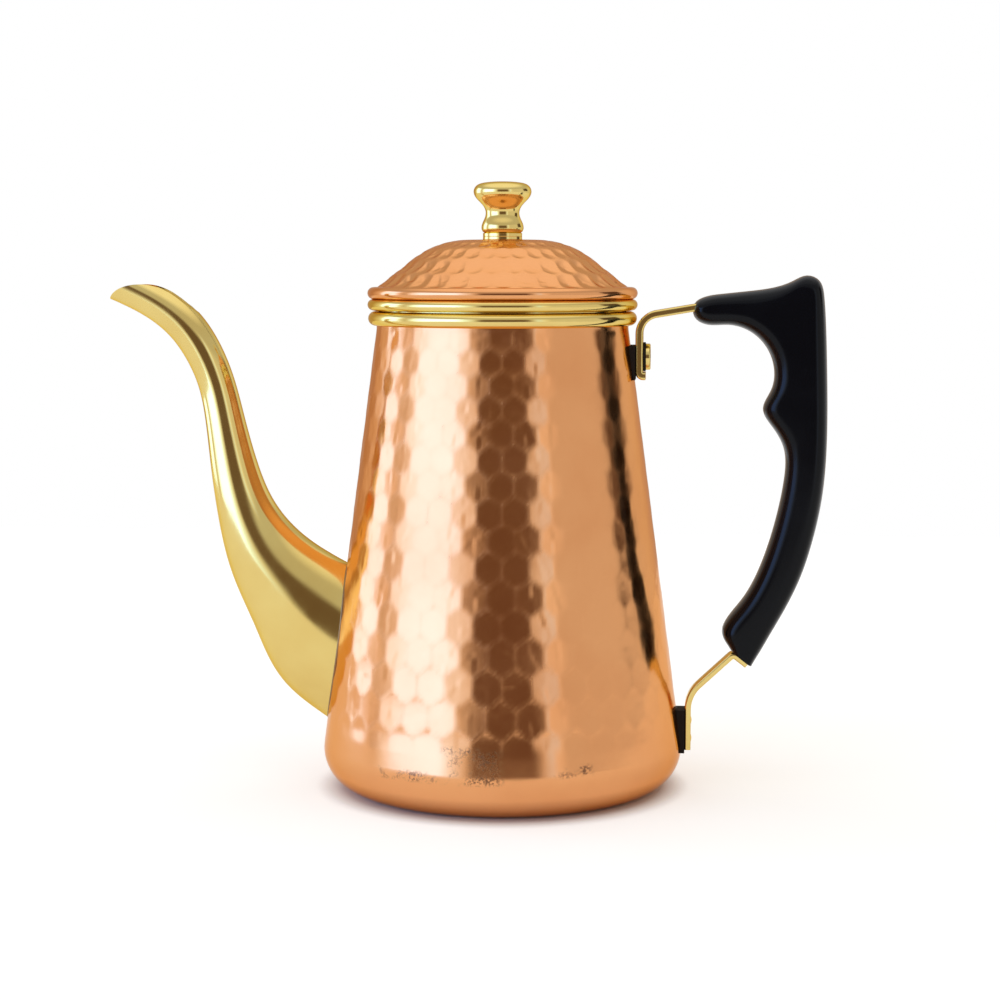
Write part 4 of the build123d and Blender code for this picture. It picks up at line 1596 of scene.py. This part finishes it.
def grip_section(context):
    """The grip's outline as points, and how far the rounding of its sides leads each one in."""
    outline = grip_places(context, GRIP_SHARES)
    outline = np.vstack([outline, outline[:1]])
    knots = chord_knots(outline)
    places = np.arange(GRIP_POINTS) * knots[-1] / GRIP_POINTS
    ring = cubic_curve(knots, outline, closed=True)(places)
    spine = grip_places(context, GRIP_SPINE)
    knots = chord_knots(spine)
    spine = cubic_curve(knots, spine)(np.linspace(0, knots[-1], SPINE_POINTS))
    apart = np.linalg.norm(ring[:, None] - spine[None], axis=2)
    nearest = spine[np.argmin(apart, axis=1)]
    shifts = range(-SPINE_SMOOTHING, SPINE_SMOOTHING + 1)
    middle = sum(np.roll(nearest, k, axis=0) for k in shifts) / len(shifts)
    inward = middle - ring
    depth = np.linalg.norm(inward, axis=1)[:, None]
    reach = np.minimum(depth * DEEPEST_CROWN, context.scene.kettle_handle.grip_crown)
    return ring, reach * inward / depth


def cut_grip_end(context, mesh):
    """Cuts the grip's lower end off along its end face, and rounds the edge of the cut."""
    handle = context.scene.kettle_handle
    turn = handle.end_angle
    spot = end_face_point(context, 0, 0)
    work = bmesh.new()
    work.from_mesh(mesh)
    cut = bmesh.ops.bisect_plane(
        work,
        geom=work.verts[:] + work.edges[:] + work.faces[:],
        plane_co=Vector((spot[0], 0, spot[1])),
        plane_no=Vector((-math.sin(turn), 0, -math.cos(turn))),
        clear_outer=True,
    )
    rim = [e for e in cut["geom_cut"] if isinstance(e, bmesh.types.BMEdge)]
    bmesh.ops.contextual_create(work, geom=rim)
    bmesh.ops.bevel(
        work,
        geom=rim,
        offset=handle.end_edge,
        segments=4,
        profile=0.5,
        affect="EDGES",
        clamp_overlap=True,
    )
    caps = [f for f in work.faces if len(f.verts) > 4]
    bmesh.ops.triangulate(work, faces=caps, ngon_method="BEAUTY")
    work.to_mesh(mesh)
    work.free()


def make_grip(context):
    """The moulded grip: its outline on levels from side to side, drawn in at both sides."""
    handle = context.scene.kettle_handle
    ring, crown = grip_section(context)
    half = handle.grip_depth / 2
    power = 2 / handle.grip_fullness
    points = []
    for turn in np.linspace(-math.pi / 2, math.pi / 2, GRIP_LEVELS):
        led_in = 1 - max(math.cos(turn), 0.0) ** power
        y = math.copysign(half * abs(math.sin(turn)) ** power, turn)
        points += [(x, y, z) for x, z in ring + crown * led_in]
    grip = new_piece("moulded_grip", points, capped_faces(GRIP_LEVELS, GRIP_POINTS))
    cut_grip_end(context, grip.data)
    settle(grip.data, crease=30.0)
    set_faces(grip, finish("black moulding"))
    finish_piece(grip, "pot", "black_phenolic", "grip")


# Pieces that keep their CAD mesh

# The black pads between the straps and the wall are rubber, and their darkness also paints the
# shade in the gap there.
KEPT_NODES = {
    "rim_wire": "plain steel",
    "upper_pad": "soft black rubber",
    "upper_seal": "soft black rubber",
    "upper_nut": "plain steel",
    "lower_pad": "soft black rubber",
    "grip_insert": "polished brass",
    "grip_screw": "plain steel",
    "lid_wire": "plain steel",
    "knob_screw": "plain steel",
    "knob_washer": "plain steel",
}


def finish_kept():
    """Gives the pieces that keep their CAD mesh their finishes."""
    for node, name in KEPT_NODES.items():
        set_faces(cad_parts[node], finish(name))


# Studio

FLOOR_SIDES = 64
FLOOR_DROP = 0.05 * MM
# The floor's own light, for the camera and in mirrors, and the radii between which it comes on;
# inside them it is off, which paints a contact shadow round the foot.
FLOOR_SEEN = 0.42
FLOOR_MIRRORED = 0.26
PAINTED_SHADOW_FULL = 57 * MM
PAINTED_SHADOW_END = 67 * MM


def floor_material():
    """A pale floor that mirrors show lit, with a painted contact shadow near the foot, see-through
    from below.
    """
    look = Look("pale floor")
    look.set("Base Color", (0.80, 0.77, 0.70, 1.0))
    look.set("Roughness", 0.9)
    look.set("Specular IOR Level", 0.1)
    look.set("Emission Color", (1.0, 1.0, 1.0, 1.0))
    path = look.node("ShaderNodeLightPath").outputs
    mirrored = look.math("MAXIMUM", path["Is Glossy Ray"], path["Is Transmission Ray"])
    seen = look.product(path["Is Camera Ray"], FLOOR_SEEN)
    own_light = look.math("ADD", seen, look.product(mirrored, FLOOR_MIRRORED))
    away = look.node("ShaderNodeVectorMath", {0: look.here}, operation="LENGTH").outputs["Value"]
    # The own light fades out towards the foot: a painted contact shadow, seen by the camera and in
    # mirrors.
    clear = look.ramp(away, low=PAINTED_SHADOW_FULL, high=PAINTED_SHADOW_END)
    look.set("Emission Strength", look.product(own_light, clear))
    below = look.node("ShaderNodeNewGeometry").outputs["Backfacing"]
    glass = look.node("ShaderNodeBsdfTransparent").outputs[0]
    sides = look.node("ShaderNodeMixShader", {0: below, 1: look.shader.outputs[0], 2: glass})
    look.feed(look.tree.nodes["Material Output"].inputs["Surface"], sides.outputs[0])
    return look.material


def stage_floor(context):
    """A square floor with a round hole under the kettle's foot."""
    studio = context.scene.kettle_studio
    half = studio.floor_size / 2
    rim, hole = [], []
    for turn in turns_round(FLOOR_SIDES):
        x, y = math.cos(turn), math.sin(turn)
        square = half / max(abs(x), abs(y))
        rim.append((x * square, y * square, 0))
        hole.append((x * studio.floor_hole, y * studio.floor_hole, 0))
    mesh = bpy.data.meshes.new("floor")
    mesh.from_pydata(rim + hole, [], grid_faces(2, FLOOR_SIDES))
    mesh.materials.append(floor_material())
    floor = place("floor", mesh)
    floor.location.z = -FLOOR_DROP


# The room round the kettle: degrees from the camera to the right, strength and tint.
PLAIN = (1.0, 1.0, 1.0)
WARM = (1.0, 0.78, 0.60)
DEEP = (1.0, 0.70, 0.54)
COOL = (0.75, 1.0, 1.5)
SOFT_BOX = (0.36, 0.56, 1.1)
ROOM = (
    (-180, 0.55, WARM),
    (-146, 0.55, WARM),
    (-128, 0.90, PLAIN),
    (-122, 4.0, SOFT_BOX),
    (-104, 4.0, SOFT_BOX),
    (-98, 1.0, PLAIN),
    (-92, 0.66, PLAIN),
    (-88, 0.85, PLAIN),
    (-83, 1.6, COOL),
    (-74, 4.0, SOFT_BOX),
    (-40, 4.0, SOFT_BOX),
    (-33, 1.5, COOL),
    (-24, 0.85, PLAIN),
    (-17, 0.58, PLAIN),
    (20, 0.60, PLAIN),
    (27, 0.85, PLAIN),
    (31, 1.15, COOL),
    (35, 1.0, PLAIN),
    (42, 0.74, PLAIN),
    (100, 0.76, PLAIN),
    (140, 0.80, PLAIN),
    (160, 0.60, WARM),
    (180, 0.55, WARM),
)
# The dark flags: where each starts, is full, starts to fade and is gone, in degrees and in rise,
# which is the height of a direction, from -1 straight down to 1 straight up. The last is its level.
FLAGS = (
    ((-24, -17, 20, 27), (-0.90, -0.80, 0.28, 0.38), 0.165),
    ((91, 96, 117, 123), (0.012, 0.035, 0.36, 0.46), 0.10),
)
# The loft, the ceiling and the room below the floor: the rise where each starts and is full.
BANDS = (
    (0.36, 0.46, 0.6),
    (0.64, 0.84, 1.05),
    (-0.18, -0.26, 0.85),
)
SENSOR_WIDTH = 36.0


def ring_place(degrees):
    """A direction in degrees as a share of the way round the room."""
    return degrees / 360 + 0.5


def tinted(level, tint):
    """A tint at a level of light."""
    return rgba([level * part for part in tint])


def room_ring(tree, spread):
    """The light of the room's ring at each share of the way round it."""
    strongest = max(strength for _, strength, _ in ROOM)
    ramp = tree.node("ShaderNodeValToRGB", {"Fac": spread})
    elements = ramp.color_ramp.elements
    elements.remove(elements[1])
    for i, (degrees, strength, tint) in enumerate(ROOM):
        element = elements.new(ring_place(degrees)) if i else elements[0]
        element.color = tinted(strength / strongest, tint)
    inputs = {0: ramp.outputs[0], "Scale": strongest}
    return tree.node("ShaderNodeVectorMath", inputs, operation="SCALE").outputs[0]


def stage_room(context):
    """The light round the kettle: a ring of pale panels, two dark flags, a loft and a ceiling."""
    world = bpy.data.worlds.new("studio room")
    context.scene.world = world
    world.use_nodes = True
    tree = Tree(world.node_tree)
    direction = tree.node("ShaderNodeTexCoord").outputs["Generated"]
    turned = tree.node("ShaderNodeVectorRotate", {"Vector": direction}, rotation_type="Z_AXIS")
    turned.inputs["Angle"].default_value = math.pi / 2 - context.scene.kettle_studio.camera_turn
    x, y, rise = tree.xyz(turned.outputs[0])
    spread = tree.math("ADD", tree.math("DIVIDE", tree.math("ARCTAN2", y, x), FULL_TURN), 0.5)
    light = room_ring(tree, spread)
    for sides, heights, level in FLAGS:
        flag = 1.0
        places = [ring_place(degrees) for degrees in sides]
        for value, (first, full, fading, gone) in ((spread, places), (rise, heights)):
            flag = tree.product(flag, tree.ramp(value, first, full), tree.ramp(value, gone, fading))
        light = tree.mix(flag, light, tinted(level, DEEP))
    for low, high, level in BANDS:
        light = tree.mix(tree.ramp(rise, low, high), light, tinted(level, PLAIN))
    background = world.node_tree.nodes["Background"]
    tree.feed(background.inputs["Color"], light)
    background.inputs["Strength"].default_value = 1.0
    white = tree.node("ShaderNodeBackground", {"Color": (1.0, 1.0, 1.0, 1.0), "Strength": 1.0})
    seen = tree.node("ShaderNodeLightPath").outputs["Is Camera Ray"]
    rooms = {0: seen, 1: background.outputs[0], 2: white.outputs[0]}
    both = tree.node("ShaderNodeMixShader", rooms)
    tree.feed(world.node_tree.nodes["World Output"].inputs["Surface"], both.outputs[0])


def stage_camera(context):
    """The camera, at the lid's height, tilted down and turned a little to the grip's side."""
    studio = context.scene.kettle_studio
    turn, tilt = studio.camera_turn, studio.camera_tilt
    camera = bpy.data.cameras.new("camera")
    camera.lens = studio.lens
    camera.sensor_width = SENSOR_WIDTH
    holder = bpy.data.objects.new("camera", camera)
    context.scene.collection.objects.link(holder)
    aim = Vector(
        (-math.sin(turn) * math.cos(tilt), math.cos(turn) * math.cos(tilt), -math.sin(tilt))
    )
    back = Vector((math.sin(turn), -math.cos(turn), 0)) * studio.camera_distance
    left = Vector((math.cos(turn), math.sin(turn), 0)) * -studio.camera_shift
    holder.location = back + left + Vector((0, 0, studio.camera_height))
    holder.rotation_euler = aim.to_track_quat("-Z", "Y").to_euler()
    context.scene.camera = holder
    context.scene.view_settings.view_transform = "Standard"


# Operators and panel


class KETTLE_OT_pot(bpy.types.Operator):
    """Build the hammered pot and its base disc"""

    bl_idname = "kettle.pot"
    bl_label = "Pot"

    def execute(self, context):
        make_pot(context)
        make_base(context)
        return {"FINISHED"}


class KETTLE_OT_rim(bpy.types.Operator):
    """Build the brass bead round the pot's mouth"""

    bl_idname = "kettle.rim"
    bl_label = "Rim bead"

    def execute(self, context):
        make_rim(context)
        return {"FINISHED"}


class KETTLE_OT_spout(bpy.types.Operator):
    """Build the goose-neck spout and its solder seam"""

    bl_idname = "kettle.spout"
    bl_label = "Spout"

    def execute(self, context):
        make_spout(context)
        make_seam(context)
        return {"FINISHED"}


class KETTLE_OT_lid(bpy.types.Operator):
    """Build the hammered dome and the brass collar"""

    bl_idname = "kettle.lid"
    bl_label = "Lid"

    def execute(self, context):
        make_dome(context)
        make_collar(context)
        return {"FINISHED"}


class KETTLE_OT_knob(bpy.types.Operator):
    """Build the turned knob and the ring under it"""

    bl_idname = "kettle.knob"
    bl_label = "Knob"

    def execute(self, context):
        make_knob_ring(context)
        make_knob(context)
        return {"FINISHED"}


class KETTLE_OT_brackets(bpy.types.Operator):
    """Build the two brass straps that hold the grip"""

    bl_idname = "kettle.brackets"
    bl_label = "Brackets"

    def execute(self, context):
        make_upper_strap(context)
        make_lower_strap(context)
        return {"FINISHED"}


class KETTLE_OT_screw(bpy.types.Operator):
    """Build the upper screw's head and its washer"""

    bl_idname = "kettle.screw"
    bl_label = "Upper screw"

    def execute(self, context):
        make_washer(context)
        make_screw(context)
        return {"FINISHED"}


class KETTLE_OT_rivets(bpy.types.Operator):
    """Build the two rivets of the lower strap"""

    bl_idname = "kettle.rivets"
    bl_label = "Rivets"

    def execute(self, context):
        make_rivets(context)
        return {"FINISHED"}


class KETTLE_OT_grip(bpy.types.Operator):
    """Build the black moulded grip"""

    bl_idname = "kettle.grip"
    bl_label = "Grip"

    def execute(self, context):
        make_grip(context)
        return {"FINISHED"}


class KETTLE_OT_kept(bpy.types.Operator):
    """Give the pieces that keep their CAD mesh their finish"""

    bl_idname = "kettle.kept"
    bl_label = "Kept pieces"

    def execute(self, context):
        finish_kept()
        return {"FINISHED"}


class KETTLE_OT_studio(bpy.types.Operator):
    """Build the floor, the light and the camera"""

    bl_idname = "kettle.studio"
    bl_label = "Studio"

    def execute(self, context):
        stage_floor(context)
        stage_room(context)
        stage_camera(context)
        return {"FINISHED"}


SETTINGS = (
    ("kettle_pot", KettlePotSettings, "Pot"),
    ("kettle_spout", KettleSpoutSettings, "Spout"),
    ("kettle_lid", KettleLidSettings, "Lid"),
    ("kettle_handle", KettleHandleSettings, "Handle"),
    ("kettle_finishes", KettleFinishSettings, "Finishes"),
    ("kettle_studio", KettleStudioSettings, "Studio"),
)
OPERATORS = (
    KETTLE_OT_pot,
    KETTLE_OT_rim,
    KETTLE_OT_spout,
    KETTLE_OT_lid,
    KETTLE_OT_knob,
    KETTLE_OT_brackets,
    KETTLE_OT_screw,
    KETTLE_OT_rivets,
    KETTLE_OT_grip,
    KETTLE_OT_kept,
    KETTLE_OT_studio,
)


class KETTLE_PT_pieces(bpy.types.Panel):
    """Lists the kettle's pieces and sizes"""

    bl_idname = "KETTLE_PT_pieces"
    bl_label = "Kettle"
    bl_space_type = "VIEW_3D"
    bl_region_type = "UI"
    bl_category = "Kettle"

    def draw(self, context):
        for operator in OPERATORS:
            self.layout.operator(operator.bl_idname)
        for attribute, group, label in SETTINGS:
            box = self.layout.box()
            box.label(text=label)
            for field in group.__annotations__:
                box.prop(getattr(context.scene, attribute), field)


def register():
    for attribute, group, _ in SETTINGS:
        bpy.utils.register_class(group)
        setattr(bpy.types.Scene, attribute, PointerProperty(type=group))
    for operator in OPERATORS:
        bpy.utils.register_class(operator)
    bpy.utils.register_class(KETTLE_PT_pieces)


def unregister():
    bpy.utils.unregister_class(KETTLE_PT_pieces)
    for operator in reversed(OPERATORS):
        bpy.utils.unregister_class(operator)
    for attribute, group, _ in reversed(SETTINGS):
        delattr(bpy.types.Scene, attribute)
        bpy.utils.unregister_class(group)


def main():
    register()
    for operator in OPERATORS:
        group, name = operator.bl_idname.split(".")
        getattr(getattr(bpy.ops, group), name)()


if __name__ == "__main__":
    main()
